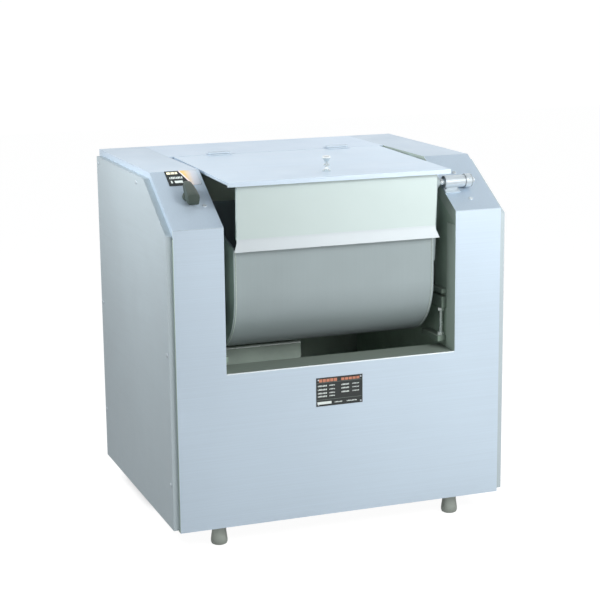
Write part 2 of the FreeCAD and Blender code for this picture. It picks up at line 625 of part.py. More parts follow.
COVER_TOP = f"({DECK} - Sizes.cover_inset + 1)"
COVER_BOTTOM = f"({BOTTOM} + Sizes.cover_bottom_gap)"
COVER_FRONT = f"({FRONT} + Sizes.cover_front_inset)"
COVER_REAR = f"({REAR} - Sizes.cover_rear_inset)"
COVER_FACE = f"({HALF} + Sizes.cover_depth)"


def side_cover(side):
    def outline(inset):
        drop = f"(Sizes.cover_inset + {inset})"
        front = f"({COVER_FRONT} + {inset})"
        top = f"({COVER_TOP} - {inset})"
        bend = f"({FRONT} + ({top} - {FACE_TOP} + {drop} * {SLANT}) / {GRADE})"
        return [
            (front, f"{COVER_BOTTOM} + {inset}"), (f"{COVER_REAR} - {inset}", f"{COVER_BOTTOM} + {inset}"),
            (f"{COVER_REAR} - {inset}", top), (bend, top), (front, slope_line(front, drop))]

    if side == "right":
        pan("right_side_cover", outline("0"), outline(SHEET), "X", HALF, COVER_FACE, "high")
    else:
        pan("left_side_cover", outline("0"), outline(SHEET), "X", f"-{HALF}", f"-{COVER_FACE}", "low")


side_cover("left")
side_cover("right")


# Trough: a U-shaped shell between two end plates

RIM_FRONT = f"({AXIS_Z} + Sizes.front_rim)"
RIM_REAR = f"({AXIS_Z} + Sizes.rear_rim)"


def trough_arc(sense):
    return (AXIS_Y, AXIS_Z, sense)


outer = "Sizes.trough_radius"
inside = "(Sizes.trough_radius - Sizes.trough_wall)"
keep("trough_shell", padded("X", f"-{TROUGH_IN}", TROUGH_IN, [
    (f"{AXIS_Y} - {outer}", RIM_FRONT), (f"{AXIS_Y} - {outer}", AXIS_Z), (f"{AXIS_Y} + {outer}", AXIS_Z),
    (f"{AXIS_Y} + {outer}", RIM_REAR), (f"{AXIS_Y} + {inside}", RIM_REAR), (f"{AXIS_Y} + {inside}", AXIS_Z),
    (f"{AXIS_Y} - {inside}", AXIS_Z), (f"{AXIS_Y} - {inside}", RIM_FRONT)],
    arcs={1: trough_arc("ccw"), 5: trough_arc("cw")}))


def trough_end(side):
    low, high = (f"-{TROUGH_SIDE}", f"-{TROUGH_IN}") if side == "left" else (TROUGH_IN, TROUGH_SIDE)
    keep(f"trough_{side}_end", padded("X", low, high, [
        (f"{AXIS_Y} - {outer}", RIM_FRONT), (f"{AXIS_Y} - {outer}", AXIS_Z),
        (f"{AXIS_Y} + {outer}", AXIS_Z), (f"{AXIS_Y} + {outer}", RIM_REAR)],
        arcs={1: trough_arc("ccw")}, holes=[(AXIS_Y, AXIS_Z, "Sizes.seal_radius")]))


trough_end("left")
trough_end("right")


# Trunnions, shaft seals, bushes and trunnion housings, one set at each end

def on_both_sides(make):
    """Build a turned piece at each end, its own axis pointing outward."""
    pieces = []
    for side in (-1, 1):
        piece = make()
        turn = Rotation(Vector(0, 1, 0), 90 * side)
        piece.Placement = Placement(Vector(), turn)
        move(piece, y=AXIS_Y, z=AXIS_Z)
        pieces.append(piece)
    return group(*pieces)


SLEEVE = "Sizes.sleeve_radius"
BUSH_IN = f"({SLEEVE} + Sizes.running_gap)"
BUSH_OUT = f"({SLEEVE} + Sizes.running_gap + Sizes.bush_wall)"
HOUSING_IN = f"({PLATE_IN} - Sizes.housing_flange - Sizes.housing_nose)"
keep("trunnions", on_both_sides(lambda: turned("Z", [
    ("Sizes.seal_radius", TROUGH_SIDE), ("Sizes.hub_radius", TROUGH_SIDE),
    ("Sizes.hub_radius", f"{TROUGH_SIDE} + Sizes.hub_plate"),
    (SLEEVE, f"{TROUGH_SIDE} + Sizes.hub_plate"), (SLEEVE, PLATE_OUT), ("Sizes.seal_radius", PLATE_OUT)])))
keep("shaft_seals", on_both_sides(lambda: turned("Z", rectangle(
    "Sizes.shaft_radius + Sizes.running_gap", "Sizes.seal_radius",
    TROUGH_IN, f"{TROUGH_IN} + Sizes.seal_length"))))
keep("trunnion_bushes", on_both_sides(lambda: turned("Z", rectangle(
    BUSH_IN, BUSH_OUT, HOUSING_IN, PLATE_OUT))))


def trunnion_housing():
    return turned("Z", [
        (BUSH_OUT, HOUSING_IN), ("Sizes.housing_radius", HOUSING_IN),
        ("Sizes.housing_radius", f"{PLATE_IN} - Sizes.housing_flange"),
        ("Sizes.housing_flange_radius", f"{PLATE_IN} - Sizes.housing_flange"),
        ("Sizes.housing_flange_radius", PLATE_IN), ("Sizes.housing_radius", PLATE_IN),
        ("Sizes.housing_radius", PLATE_OUT), (BUSH_OUT, PLATE_OUT)])


def bolt_rods(y, z, circle_radius, radius, low, high):
    return [rod("X", radius, low, high, by, bz) for by, bz in bolt_places(y, z, circle_radius)]


both_ends = (f"-{HALF}", HALF)
keep("trunnion_housings", cut(
    on_both_sides(trunnion_housing),
    *bolt_rods(AXIS_Y, AXIS_Z, "Sizes.bolt_circle_radius", BOLT_HOLE, *both_ends)))


# Flange bearings of the mixing shaft, outside the side plates

def flange_bearing(side):
    flange = (PLATE_OUT, f"{PLATE_OUT} + Sizes.bearing_flange")
    barrel = (PLATE_OUT, f"{PLATE_OUT} + Sizes.bearing_length")
    if side == "left":
        flange = (f"-({flange[1]})", f"-{flange[0]}")
        barrel = (f"-({barrel[1]})", f"-{barrel[0]}")
    plate = rod("X", "Sizes.bearing_flange_radius", *flange, AXIS_Y, AXIS_Z)
    solid = fuse(plate, rod("X", "Sizes.bearing_hub_radius", *barrel, AXIS_Y, AXIS_Z))
    bore = rod("X", "Sizes.shaft_radius + Sizes.running_gap", *both_ends, AXIS_Y, AXIS_Z)
    return cut(solid, bore, *bolt_rods(AXIS_Y, AXIS_Z, "Sizes.bolt_circle_radius", BOLT_HOLE, *both_ends))


keep("shaft_bearings", group(flange_bearing("left"), flange_bearing("right")))


def through_bolt(y, z, inner_face, outer_face, sign):
    """One bolt with its head in the bay and its nut in the side box."""
    tip = f"{outer_face} + Sizes.bolt_head + Sizes.bolt_tail"
    parts = []
    for radius, low, high in (
            ("Sizes.bolt_radius", inner_face, tip),
            ("Sizes.bolt_head_radius", f"{inner_face} - Sizes.bolt_head", inner_face),
            ("Sizes.bolt_head_radius", outer_face, f"{outer_face} + Sizes.bolt_head")):
        ends = (f"({low})", f"({high})") if sign == "+" else (f"-({high})", f"-({low})")
        parts.append(rod("X", radius, *ends, y, z))
    return fuse(*parts)


def build_bearing_bolts():
    inner_face = f"({PLATE_IN} - Sizes.housing_flange)"
    outer_face = f"({PLATE_OUT} + Sizes.bearing_flange)"
    places = bolt_places(AXIS_Y, AXIS_Z, "Sizes.bolt_circle_radius")
    bolts = [through_bolt(y, z, inner_face, outer_face, sign) for sign in ("-", "+") for y, z in places]
    keep("bearing_bolts", group(*bolts))


build_bearing_bolts()


# Mixing shaft with the gear's retaining disc, and its paddles

SHAFT_RIGHT = f"({PLATE_OUT} + Sizes.bearing_length + Sizes.shaft_overhang)"
GEAR_IN = f"({GEAR_MIDDLE} - Sizes.gear_face / 2)"
GEAR_OUT = f"({GEAR_MIDDLE} + Sizes.gear_face / 2)"
keep("mixing_shaft", group(
    turned("X", [
        ("0", f"-{GEAR_OUT}"), ("Sizes.gear_seat_radius", f"-{GEAR_OUT}"),
        ("Sizes.gear_seat_radius", f"-{GEAR_IN}"), ("Sizes.shaft_radius", f"-{GEAR_IN}"),
        ("Sizes.shaft_radius", SHAFT_RIGHT), ("0", SHAFT_RIGHT)], y=AXIS_Y, z=AXIS_Z),
    rod("X", "Sizes.retainer_radius", f"-{GEAR_OUT} - Sizes.retainer", f"-{GEAR_OUT}", AXIS_Y, AXIS_Z)))


def paddle(number):
    """A clamp collar, an arm and a pitched blade, pointing to the front or the back."""
    middle = "(Sizes.paddle_count - 1) / 2"
    place = f"(({number} - {middle}) * ({TROUGH_IN} - Sizes.paddle_margin) / ({middle}))"
    front = number % 2 == 0
    sign = "-" if front else "+"
    collar = rod("X", "Sizes.collar_radius", f"{place} - Sizes.collar_length / 2",
                 f"{place} + Sizes.collar_length / 2", AXIS_Y, AXIS_Z)
    near = f"{AXIS_Y} {sign} Sizes.shaft_radius"
    far = f"{AXIS_Y} {sign} Sizes.paddle_reach * 0.85"
    arm_y = (far, near) if front else (near, far)
    arm = block((f"{place} - Sizes.arm_width / 2", f"{place} + Sizes.arm_width / 2"), arm_y,
                (f"{AXIS_Z} - Sizes.arm_thickness / 2", f"{AXIS_Z} + Sizes.arm_thickness / 2"))
    blade = doc.addObject("Part::Box", fresh("Blade"))
    blade.setExpression("Length", "Sizes.paddle_width")
    blade.setExpression("Width", "Sizes.paddle_reach - Sizes.paddle_root")
    blade.setExpression("Height", "Sizes.paddle_thickness")
    blade.Placement = Placement(Vector(), Rotation(Vector(0, 1, 0), 1))
    pitch = "Sizes.paddle_twist" if front else "-Sizes.paddle_twist"
    blade.setExpression(".Placement.Rotation.Angle", pitch)
    half_x = f"(Sizes.paddle_width / 2 * cos({pitch}) + Sizes.paddle_thickness / 2 * sin({pitch}))"
    half_z = f"(Sizes.paddle_thickness / 2 * cos({pitch}) - Sizes.paddle_width / 2 * sin({pitch}))"
    start = f"{AXIS_Y} - Sizes.paddle_reach" if front else f"{AXIS_Y} + Sizes.paddle_root"
    move(blade, f"{place} - {half_x}", start, f"{AXIS_Z} - {half_z}")
    swept = rod("X", "Sizes.paddle_reach", f"{place} - Sizes.paddle_width",
                f"{place} + Sizes.paddle_width", AXIS_Y, AXIS_Z)
    bore = rod("X", "Sizes.shaft_radius", f"{place} - Sizes.paddle_width",
               f"{place} + Sizes.paddle_width", AXIS_Y, AXIS_Z)
    return cut(common(fuse(collar, arm, blade), swept), bore)


keep("paddles", group(*[paddle(number) for number in range(int(value("Sizes.paddle_count")))]))


# Gears

def tooth_outline(teeth, phase):
    """Points round a spur gear with straight-sided, slightly thinned teeth."""
    module = value("Sizes.gear_module")
    backlash = value("Sizes.gear_backlash")
    pitch_radius = module * teeth / 2
    pressure = math.radians(value("Sizes.pressure_angle"))
    base_radius = pitch_radius * math.cos(pressure)
    root_radius = pitch_radius - value("Sizes.dedendum_share") * module
    tip_radius = pitch_radius + value("Sizes.addendum_share") * module
    half_tooth = math.pi / (2 * teeth) - backlash / (4 * pitch_radius)

    def flank(radius):
        """Half the angle that a tooth takes up at a radius."""
        def involute(distance):
            slope = math.acos(min(1, base_radius / distance))
            return math.tan(slope) - slope
        return half_tooth + involute(pitch_radius) - involute(max(radius, base_radius))

    levels = [root_radius, max(base_radius, root_radius + 0.3 * module), pitch_radius, tip_radius]
    points = []
    for number in range(teeth):
        middle = phase + 2 * math.pi * number / teeth
        for radius in levels:
            angle = middle - flank(radius)
            points.append(Vector(0, radius * math.cos(angle), radius * math.sin(angle)))
        for radius in reversed(levels):
            angle = middle + flank(radius)
            points.append(Vector(0, radius * math.cos(angle), radius * math.sin(angle)))
    return points


def toothed_disc(teeth, phase, low, high, y, z):
    points = tooth_outline(teeth, phase)
    face = Part.Face(Part.makePolygon(points + points[:1]))
    disc = face.extrude(Vector(high - low, 0, 0))
    disc.translate(Vector(low, y, z))
    return disc


def ring(outer_radius, inner_radius, low, high, y, z):
    axis = Vector(1, 0, 0)
    return Part.makeCylinder(outer_radius, high - low, Vector(low, y, z), axis).cut(
        Part.makeCylinder(inner_radius, high - low, Vector(low, y, z), axis))


def build_gears():
    mesh_angle = math.radians(-value("Sizes.counter_angle"))
    teeth = int(value("Sizes.gear_teeth"))
    low, high = -value(GEAR_OUT), -value(GEAR_IN)
    y, z = value(AXIS_Y), value(AXIS_Z)
    gear = toothed_disc(teeth, mesh_angle, low, high, y, z)
    rim_radius = value("Sizes.gear_module * Sizes.gear_teeth / 2 - Sizes.gear_rim")
    hub_radius = value("Sizes.gear_hub_radius")
    web = value("Sizes.gear_web")
    recess = (high - low - web) / 2
    for start in (low, high - recess):
        gear = gear.cut(ring(rim_radius, hub_radius, start, start + recess, y, z))
    hole_radius = (rim_radius - hub_radius) / 2 - value("Sizes.gear_hole_margin")
    reach = (rim_radius + hub_radius) / 2
    holes = int(value("Sizes.gear_holes"))
    for number in range(holes):
        angle = 2 * math.pi * (number + 0.5) / holes
        centre = Vector(low, y + reach * math.cos(angle), z + reach * math.sin(angle))
        gear = gear.cut(Part.makeCylinder(hole_radius, high - low, centre, Vector(1, 0, 0)))
    gear = gear.cut(Part.makeCylinder(
        value("Sizes.gear_seat_radius"), high - low, Vector(low, y, z), Vector(1, 0, 0)))
    feature = doc.addObject("Part::Feature", "DriveGear")
    feature.Shape = gear
    keep("drive_gear", feature)
    small = int(value("Sizes.pinion_teeth"))
    half_face = value("Sizes.pinion_face") / 2
    middle = -value(GEAR_MIDDLE)
    y, z = value(COUNTER_Y), value(COUNTER_Z)
    phase = mesh_angle + math.pi + math.pi / small
    pinion = toothed_disc(small, phase, middle - half_face, middle + half_face, y, z)
    pinion = pinion.cut(Part.makeCylinder(
        value("Sizes.counter_radius"), 2 * half_face, Vector(middle - half_face, y, z), Vector(1, 0, 0)))
    feature = doc.addObject("Part::Feature", "Pinion")
    feature.Shape = pinion
    keep("pinion", feature)


build_gears()


# Countershaft in its own housing through the left side plate

PULLEY_OUT = f"({PULLEY_IN} + Sizes.pulley_width)"
COUNTER_END = f"({GEAR_MIDDLE} + Sizes.pinion_face / 2)"
BARREL_IN = f"({TROUGH_SIDE} + Sizes.counter_barrel_gap)"
BARREL_OUT = f"({PULLEY_IN} - Sizes.pulley_side_gap)"


def turned_left(points, y, z):
    """A turned piece whose distances run outward, to the left."""
    piece = turned("Z", points)
    piece.Placement = Placement(Vector(), Rotation(Vector(0, 1, 0), -90))
    return move(piece, y=y, z=z)


bearing_radius = "Sizes.counter_bearing_radius"
housing_radius = "Sizes.counter_housing_radius"
keep("countershaft_housing", cut(turned_left([
    (bearing_radius, BARREL_IN), (housing_radius, BARREL_IN),
    (housing_radius, f"{PLATE_IN} - Sizes.housing_flange"),
    ("Sizes.counter_flange_radius", f"{PLATE_IN} - Sizes.housing_flange"),
    ("Sizes.counter_flange_radius", PLATE_IN), (housing_radius, PLATE_IN),
    (housing_radius, BARREL_OUT), (bearing_radius, BARREL_OUT)], COUNTER_Y, COUNTER_Z),
    *bolt_rods(COUNTER_Y, COUNTER_Z, COUNTER_CIRCLE, BOLT_HOLE, f"-{HALF}", "0")))
bearing_bore = "Sizes.counter_radius + Sizes.running_gap"
keep("countershaft_bearings", group(
    turned_left(rectangle(bearing_bore, bearing_radius, BARREL_IN, f"{BARREL_IN} + Sizes.counter_bearing"),
                COUNTER_Y, COUNTER_Z),
    turned_left(rectangle(bearing_bore, bearing_radius, f"{BARREL_OUT} - Sizes.counter_bearing", BARREL_OUT),
                COUNTER_Y, COUNTER_Z)))
keep("countershaft", rod(
    "X", "Sizes.counter_radius", f"-{COUNTER_END}", f"-{BARREL_IN}", COUNTER_Y, COUNTER_Z))


# Pulleys, belts and motor

def pulley(radius, bore, web_radius, y, z):
    """A two-groove pulley as one turned outline."""
    middle = f"({PULLEY_IN} + Sizes.pulley_width / 2)"
    top = "Sizes.groove_top / 2"
    low = "Sizes.groove_bottom / 2"
    points = [(bore, PULLEY_IN), (radius, PULLEY_IN)]
    for sign in ("-", "+"):
        centre = f"{middle} {sign} Sizes.groove_pitch / 2"
        points += [
            (radius, f"{centre} - {top}"), (f"{radius} - Sizes.groove_depth", f"{centre} - {low}"),
            (f"{radius} - Sizes.groove_depth", f"{centre} + {low}"), (radius, f"{centre} + {top}")]
    points += [(radius, PULLEY_OUT), (bore, PULLEY_OUT)]
    solid = turned_left(points, y, z)
    if not web_radius:
        return solid
    hollow_low = f"{middle} + Sizes.pulley_web / 2"
    hollow_high = f"{middle} - Sizes.pulley_web / 2"
    rim = f"{radius} - Sizes.pulley_rim"
    return cut(solid,
               turned_left(rectangle(web_radius, rim, hollow_low, PULLEY_OUT), y, z),
               turned_left(rectangle(web_radius, rim, PULLEY_IN, hollow_high), y, z))


keep("large_pulley", pulley("Sizes.pulley_radius", "Sizes.counter_radius", "Sizes.pulley_hub_radius",
                            COUNTER_Y, COUNTER_Z))
keep("motor_pulley", pulley("Sizes.motor_pulley_radius", "Sizes.motor_shaft_radius", None, MOTOR_Y, MOTOR_Z))


def belt_loop(reach):
    """The closed line that lies a distance outside both pulleys' belt lines."""
    large = value("Sizes.pulley_radius - Sizes.belt_sink") + reach
    small = value("Sizes.motor_pulley_radius - Sizes.belt_sink") + reach
    high = Vector(0, value(COUNTER_Y), value(COUNTER_Z))
    low = Vector(0, value(MOTOR_Y), value(MOTOR_Z))
    along = low - high
    spread = math.acos((large - small) / along.Length)
    heading = math.atan2(along.z, along.y)

    def on(centre, radius, angle):
        return centre + Vector(0, radius * math.cos(angle), radius * math.sin(angle))

    first, second = heading - spread, heading + spread
    back = heading + math.pi
    edges = [
        Part.Arc(on(high, large, second), on(high, large, back), on(high, large, first)).toShape(),
        Part.LineSegment(on(high, large, first), on(low, small, first)).toShape(),
        Part.Arc(on(low, small, first), on(low, small, heading), on(low, small, second)).toShape(),
        Part.LineSegment(on(low, small, second), on(high, large, second)).toShape(),
    ]
    return Part.Face(Part.Wire(edges))


def build_belts():
    band = belt_loop(0).cut(belt_loop(-value("Sizes.belt_height")))
    width = value("Sizes.belt_width")
    belts = []
    for sign in ("-", "+"):
        middle = value(f"-({PULLEY_IN} + Sizes.pulley_width / 2 {sign} Sizes.groove_pitch / 2)")
        belt = band.extrude(Vector(width, 0, 0))
        belt.translate(Vector(middle - width / 2, 0, 0))
        belts.append(belt.Solids[0])
    feature = doc.addObject("Part::Feature", "Belts")
    feature.Shape = Part.makeCompound(belts)
    keep("v_belts", feature)


build_belts()

MOTOR_FACE = f"({PLATE_IN} - Sizes.motor_face_gap)"
MOTOR_END = f"({MOTOR_FACE} - Sizes.motor_length)"
FAN_END = f"({MOTOR_END} - Sizes.motor_fan_length)"
PLATE_TOP = f"({FRAME_TOP} + Sizes.motor_plate)"


def build_motor():
    radius = "Sizes.motor_radius"
    blind_end = f"({MOTOR_END} + Sizes.motor_bore_depth)"
    bore = rod("X", "Sizes.motor_shaft_radius + Sizes.running_gap", f"-{MOTOR_FACE}", f"-{blind_end}",
               MOTOR_Y, MOTOR_Z)
    shoulder = f"({MOTOR_FACE} - Sizes.motor_nose)"
    barrel = turned_left([
        ("0", MOTOR_END), (radius, MOTOR_END), (radius, f"{shoulder} - Sizes.motor_taper"),
        ("Sizes.motor_cap_radius", shoulder), ("Sizes.motor_nose_radius", shoulder),
        ("Sizes.motor_nose_radius", MOTOR_FACE), ("0", MOTOR_FACE)], MOTOR_Y, MOTOR_Z)
    foot_x = (f"-{MOTOR_FACE} + Sizes.motor_foot_front", f"-{MOTOR_END} - Sizes.motor_foot_rear")
    feet = block(foot_x, (f"{MOTOR_Y} - {radius}", f"{MOTOR_Y} + {radius}"),
                 (PLATE_TOP, f"{PLATE_TOP} + Sizes.motor_foot"))
    saddle = block((f"{foot_x[0]} + Sizes.saddle_inset", f"{foot_x[1]} - Sizes.saddle_inset"),
                   (f"{MOTOR_Y} - Sizes.saddle_half", f"{MOTOR_Y} + Sizes.saddle_half"), (PLATE_TOP, MOTOR_Z))
    keep("motor_body", cut(fuse(barrel, feet, saddle), bore))
    keep("motor_fan_cover", turned_left([
        ("0", FAN_END), ("Sizes.motor_cap_radius", FAN_END), (radius, f"{FAN_END} + Sizes.fan_cover_edge"),
        (radius, MOTOR_END), ("0", MOTOR_END)], MOTOR_Y, MOTOR_Z))
    keep("motor_shaft", rod("X", "Sizes.motor_shaft_radius", f"-{PULLEY_OUT}",
                            f"-{blind_end} - Sizes.pulley_side_gap", MOTOR_Y, MOTOR_Z))
    box_x = f"(-{MOTOR_FACE} + Sizes.terminal_start)"
    keep("motor_terminal_box", block(
        (box_x, f"{box_x} + Sizes.terminal_length"),
        (f"{MOTOR_Y} - Sizes.terminal_width / 2", f"{MOTOR_Y} + Sizes.terminal_width / 2"),
        (f"{MOTOR_Z} + {radius}", f"{MOTOR_Z} + {radius} + Sizes.terminal_height")))
    plate_x = f"(-{PLATE_IN} + Sizes.frame_bar / 2)"
    keep("motor_plate", block(
        (plate_x, f"{plate_x} + Sizes.motor_plate_length"),
        (f"{MOTOR_Y} - Sizes.motor_plate_depth / 2", f"{MOTOR_Y} + Sizes.motor_plate_depth / 2"),
        (FRAME_TOP, PLATE_TOP)))


build_motor()


# Supports beside the trunnions: a base, a jack bolt, a bracket and a cap on each side plate

def trunnion_support(side):
    """Four solids that stand on the side plate's face, in front of the trunnion housing."""

    def across(depth):
        low, high = f"({PLATE_IN} - {depth})", PLATE_IN
        return (low, high) if side == "right" else (f"-{high}", f"-{low}")

    front = f"({FRONT} + Sizes.return_depth + Sizes.support_front)"
    bracket_low = f"({AXIS_Z} - Sizes.support_drop - Sizes.support_height)"
    bracket_high = f"({AXIS_Z} - Sizes.support_drop)"
    base_high = f"({AXIS_Z} - Sizes.support_base_drop)"
    head = "Sizes.jack_nut"
    length = (front, f"{front} + Sizes.support_length")
    bolt_x = f"({PLATE_IN} - Sizes.jack_inset)" if side == "right" else f"(-{PLATE_IN} + Sizes.jack_inset)"
    bolt_y = f"({front} + Sizes.support_depth)"
    bolt = fuse(
        rod("Z", "Sizes.jack_radius", base_high, f"{bracket_low}", bolt_x, bolt_y),
        rod("Z", "Sizes.jack_nut_radius", base_high, f"{base_high} + {head}", bolt_x, bolt_y),
        rod("Z", "Sizes.jack_nut_radius", f"{bracket_low} - {head}", bracket_low, bolt_x, bolt_y))
    return [
        block(across("Sizes.support_base_depth"), (front, f"{front} + Sizes.support_base_length"),
              (f"{base_high} - Sizes.support_base_height", base_high)),
        bolt,
        block(across("Sizes.support_depth"), length, (bracket_low, bracket_high)),
        block(across("Sizes.support_depth"), length,
              (f"{bracket_high} + Sizes.jack_nut", f"{bracket_high} + Sizes.jack_nut + Sizes.cap_height"))]


keep("trunnion_supports", group(*trunnion_support("left"), *trunnion_support("right")))


# Shield under the trough, in front of the motor: a folded strip on the left side plate

def build_shield():
    low_x, high_x = f"-{PLATE_IN}", f"(-{PLATE_IN} + Sizes.shield_width)"
    front = f"({FRONT} + Sizes.shield_setback)"
    rear = f"({front} + Sizes.shield_depth)"
    top = f"({AXIS_Z} - Sizes.trough_radius - Sizes.shield_drop)"
    low = f"({top} - Sizes.shield_height)"
    body = new_body()
    add_pad(body, "X", low_x, high_x, [
        (front, low), (f"{front} + {SHEET}", low), (f"{front} + {SHEET}", f"{top} - {SHEET}"),
        (rear, f"{top} - {SHEET}"), (rear, top), (front, top)])
    add_pad(body, "X", f"{high_x} - {SHEET}", high_x, rectangle(front, rear, low, top))
    keep("motor_shield", body)


build_shield()


# Lid: a shallow folded plate, falling a little to the front, with its apron

def build_lid():
    half = f"({BAY} - Sizes.lid_gap)"
    edge = "Sizes.lid_edge"
    front_edge = "Sizes.lid_front_edge"
    behind = f"({LID_FRONT} + {SHEET})"
    body = new_body()
    top = [
        (LID_REAR, lid_line(LID_REAR)), (LID_FRONT, lid_line(LID_FRONT)),
        (LID_FRONT, lid_line(LID_FRONT, front_edge)), (behind, lid_line(behind, front_edge)),
        (behind, lid_line(behind, SHEET)), (LID_REAR, lid_line(LID_REAR, SHEET))]
    side = [
        (LID_REAR, lid_line(LID_REAR)), (LID_FRONT, lid_line(LID_FRONT)),
        (LID_FRONT, lid_line(LID_FRONT, edge)), (LID_REAR, lid_line(LID_REAR, edge))]
    add_pad(body, "X", f"-{half}", half, top)
    add_pad(body, "X", f"-{half}", f"-{half} + {SHEET}", side)
    add_pad(body, "X", f"{half} - {SHEET}", half, side)
    keep("lid_plate", body)


APRON_TOP_Y = f"({FRONT} + Sizes.apron_top_setback)"
APRON_LOW_Y = f"({FRONT} + Sizes.apron_bottom_setback)"
APRON_LOW_Z = f"({BOTTOM} + Sizes.apron_height)"
APRON_TOP_Z = lid_line(APRON_TOP_Y, SHEET)
APRON_HALF = f"({BAY} - Sizes.apron_gap)"


def apron_face(z):
    """Where the apron's outer face lies at a height."""
    lean = f"(({APRON_LOW_Y} - {APRON_TOP_Y}) / ({APRON_TOP_Z} - {APRON_LOW_Z}))"
    return f"({APRON_LOW_Y} - {lean} * ({z} - {APRON_LOW_Z}))"


def build_apron():
    back = "Sizes.apron_flange"
    body = new_body()
    flange_y = f"({APRON_TOP_Y} + {back})"
    face = [
        (APRON_TOP_Y, APRON_TOP_Z), (APRON_LOW_Y, APRON_LOW_Z), (f"{APRON_LOW_Y} + {SHEET}", APRON_LOW_Z),
        (f"{APRON_TOP_Y} + {SHEET}", f"{APRON_TOP_Z} - {SHEET}"),
        (flange_y, lid_line(flange_y, f"{SHEET} * 2")),
        (flange_y, lid_line(flange_y, SHEET))]
    wing = [
        (APRON_TOP_Y, APRON_TOP_Z), (APRON_LOW_Y, APRON_LOW_Z),
        (f"{APRON_LOW_Y} + Sizes.apron_return", APRON_LOW_Z),
        (f"{APRON_TOP_Y} + Sizes.apron_return", lid_line(f"({APRON_TOP_Y} + Sizes.apron_return)", SHEET))]
    add_pad(body, "X", f"-{APRON_HALF}", APRON_HALF, face)
    add_pad(body, "X", f"-{APRON_HALF}", f"-{APRON_HALF} + {SHEET}", wing)
    add_pad(body, "X", f"{APRON_HALF} - {SHEET}", APRON_HALF, wing)
    keep("lid_apron", body)


def build_apron_lip():
    """The flared strip along the apron's lower edge, wider at the bottom."""
    tip_z = f"({APRON_LOW_Z} - Sizes.lip_drop)"
    band_z = f"({APRON_LOW_Z} + Sizes.lip_band)"
    tip_y = f"({APRON_LOW_Y} - Sizes.lip_reach)"
    band_y = apron_face(band_z)
    wide = f"({APRON_HALF} + Sizes.lip_flare)"
    body = new_body()
    add_pad(body, "X", f"-{wide}", wide, [
        (band_y, band_z), (f"{band_y} - {SHEET}", band_z), (f"{APRON_LOW_Y} - {SHEET}", APRON_LOW_Z),
        (f"{tip_y} - {SHEET}", tip_z), (tip_y, tip_z), (APRON_LOW_Y, APRON_LOW_Z)])
    rear = f"({APRON_LOW_Y} + {SHEET})"
    above = f"({band_z} + {SHEET})"
    for sign in ("-", ""):
        aside = f"{sign}({wide} + {SHEET})"
        add_pocket(body, "Y", FRONT, rear, [[
            (f"{sign}{APRON_HALF}", above), (f"{sign}{APRON_HALF}", APRON_LOW_Z),
            (f"{sign}{wide}", tip_z), (aside, tip_z), (aside, above)]])
    keep("apron_lip", body)


build_lid()
build_apron()
build_apron_lip()

# Lid knob: a turned pull

KNOB_Y = f"({FRONT} + Sizes.lid_knob_setback)"
knob = "Sizes.lid_knob_radius"
tall = "Sizes.lid_knob_height"
keep("lid_knob", turned("Z", [
    ("0", "0"), (knob, "0"), (knob, f"{tall} * 0.07"), (f"{knob} * 0.5", f"{tall} * 0.14"),
    (f"{knob} * 0.42", f"{tall} * 0.3"), (f"{knob} * 0.72", f"{tall} * 0.36"),
    (f"{knob} * 0.72", f"{tall} * 0.43"), (f"{knob} * 0.42", f"{tall} * 0.5"),
    (f"{knob} * 0.45", f"{tall} * 0.62"), (knob, f"{tall} * 0.86"),
    (f"{knob} * 0.92", f"{tall} * 0.97"), (f"{knob} * 0.6", tall), ("0", tall)],
    x="Sizes.lid_knob_offset", y=KNOB_Y, z=lid_line(f"({KNOB_Y} + {knob})")))


# Butt hinges: deck leaves with their pins, and lid leaves

def build_hinges():
    radius = "Sizes.knuckle_radius"
    pin = "Sizes.hinge_pin_radius"
    third = "(Sizes.hinge_width / 3)"
    gap = "Sizes.knuckle_gap"
    deck_leaves = []
    lid_leaves = []
    pins = []
    for sign in ("-", "+"):
        middle = f"({sign}Sizes.hinge_spacing / 2)"
        low = f"({middle} - Sizes.hinge_width / 2)"
        high = f"({middle} + Sizes.hinge_width / 2)"
        leaf_z = (DECK, f"{DECK} + Sizes.leaf_sheet")
        leaf = block((low, high), (HINGE_Y, f"{HINGE_Y} + Sizes.hinge_leaf"), leaf_z)
        barrel = rod("X", radius, low, high, HINGE_Y, HINGE_Z)
        notch = block((f"{low} + {third}", f"{high} - {third}"),
                      (f"{HINGE_Y} - {radius}", f"{HINGE_Y} + {radius} + {gap}"),
                      (DECK, f"{HINGE_Z} + {radius}"))
        bore = rod("X", pin, low, high, HINGE_Y, HINGE_Z)
        deck_leaves.append(cut(fuse(leaf, barrel), notch, bore))
        inner = (f"{low} + {third} + {gap}", f"{high} - {third} - {gap}")
        knuckle = rod("X", radius, *inner, HINGE_Y, HINGE_Z)
        leaf = block((low, high), (f"{HINGE_Y} - Sizes.hinge_leaf", f"{HINGE_Y} - {radius} - {gap}"), leaf_z)
        tongue = block(inner, (f"{HINGE_Y} - {radius} - {gap}", HINGE_Y), leaf_z)
        bore = rod("X", f"{pin} + Sizes.running_gap", low, high, HINGE_Y, HINGE_Z)
        lid_leaves.append(cut(fuse(leaf, tongue, knuckle), bore))
        pins.append(rod("X", pin, low, high, HINGE_Y, HINGE_Z))
    keep("hinge_deck_leaves", group(*deck_leaves, *pins))
    keep("hinge_lid_leaves", group(*lid_leaves))


build_hinges()


# Small angle rests on the side walls, under the lid's folded sides

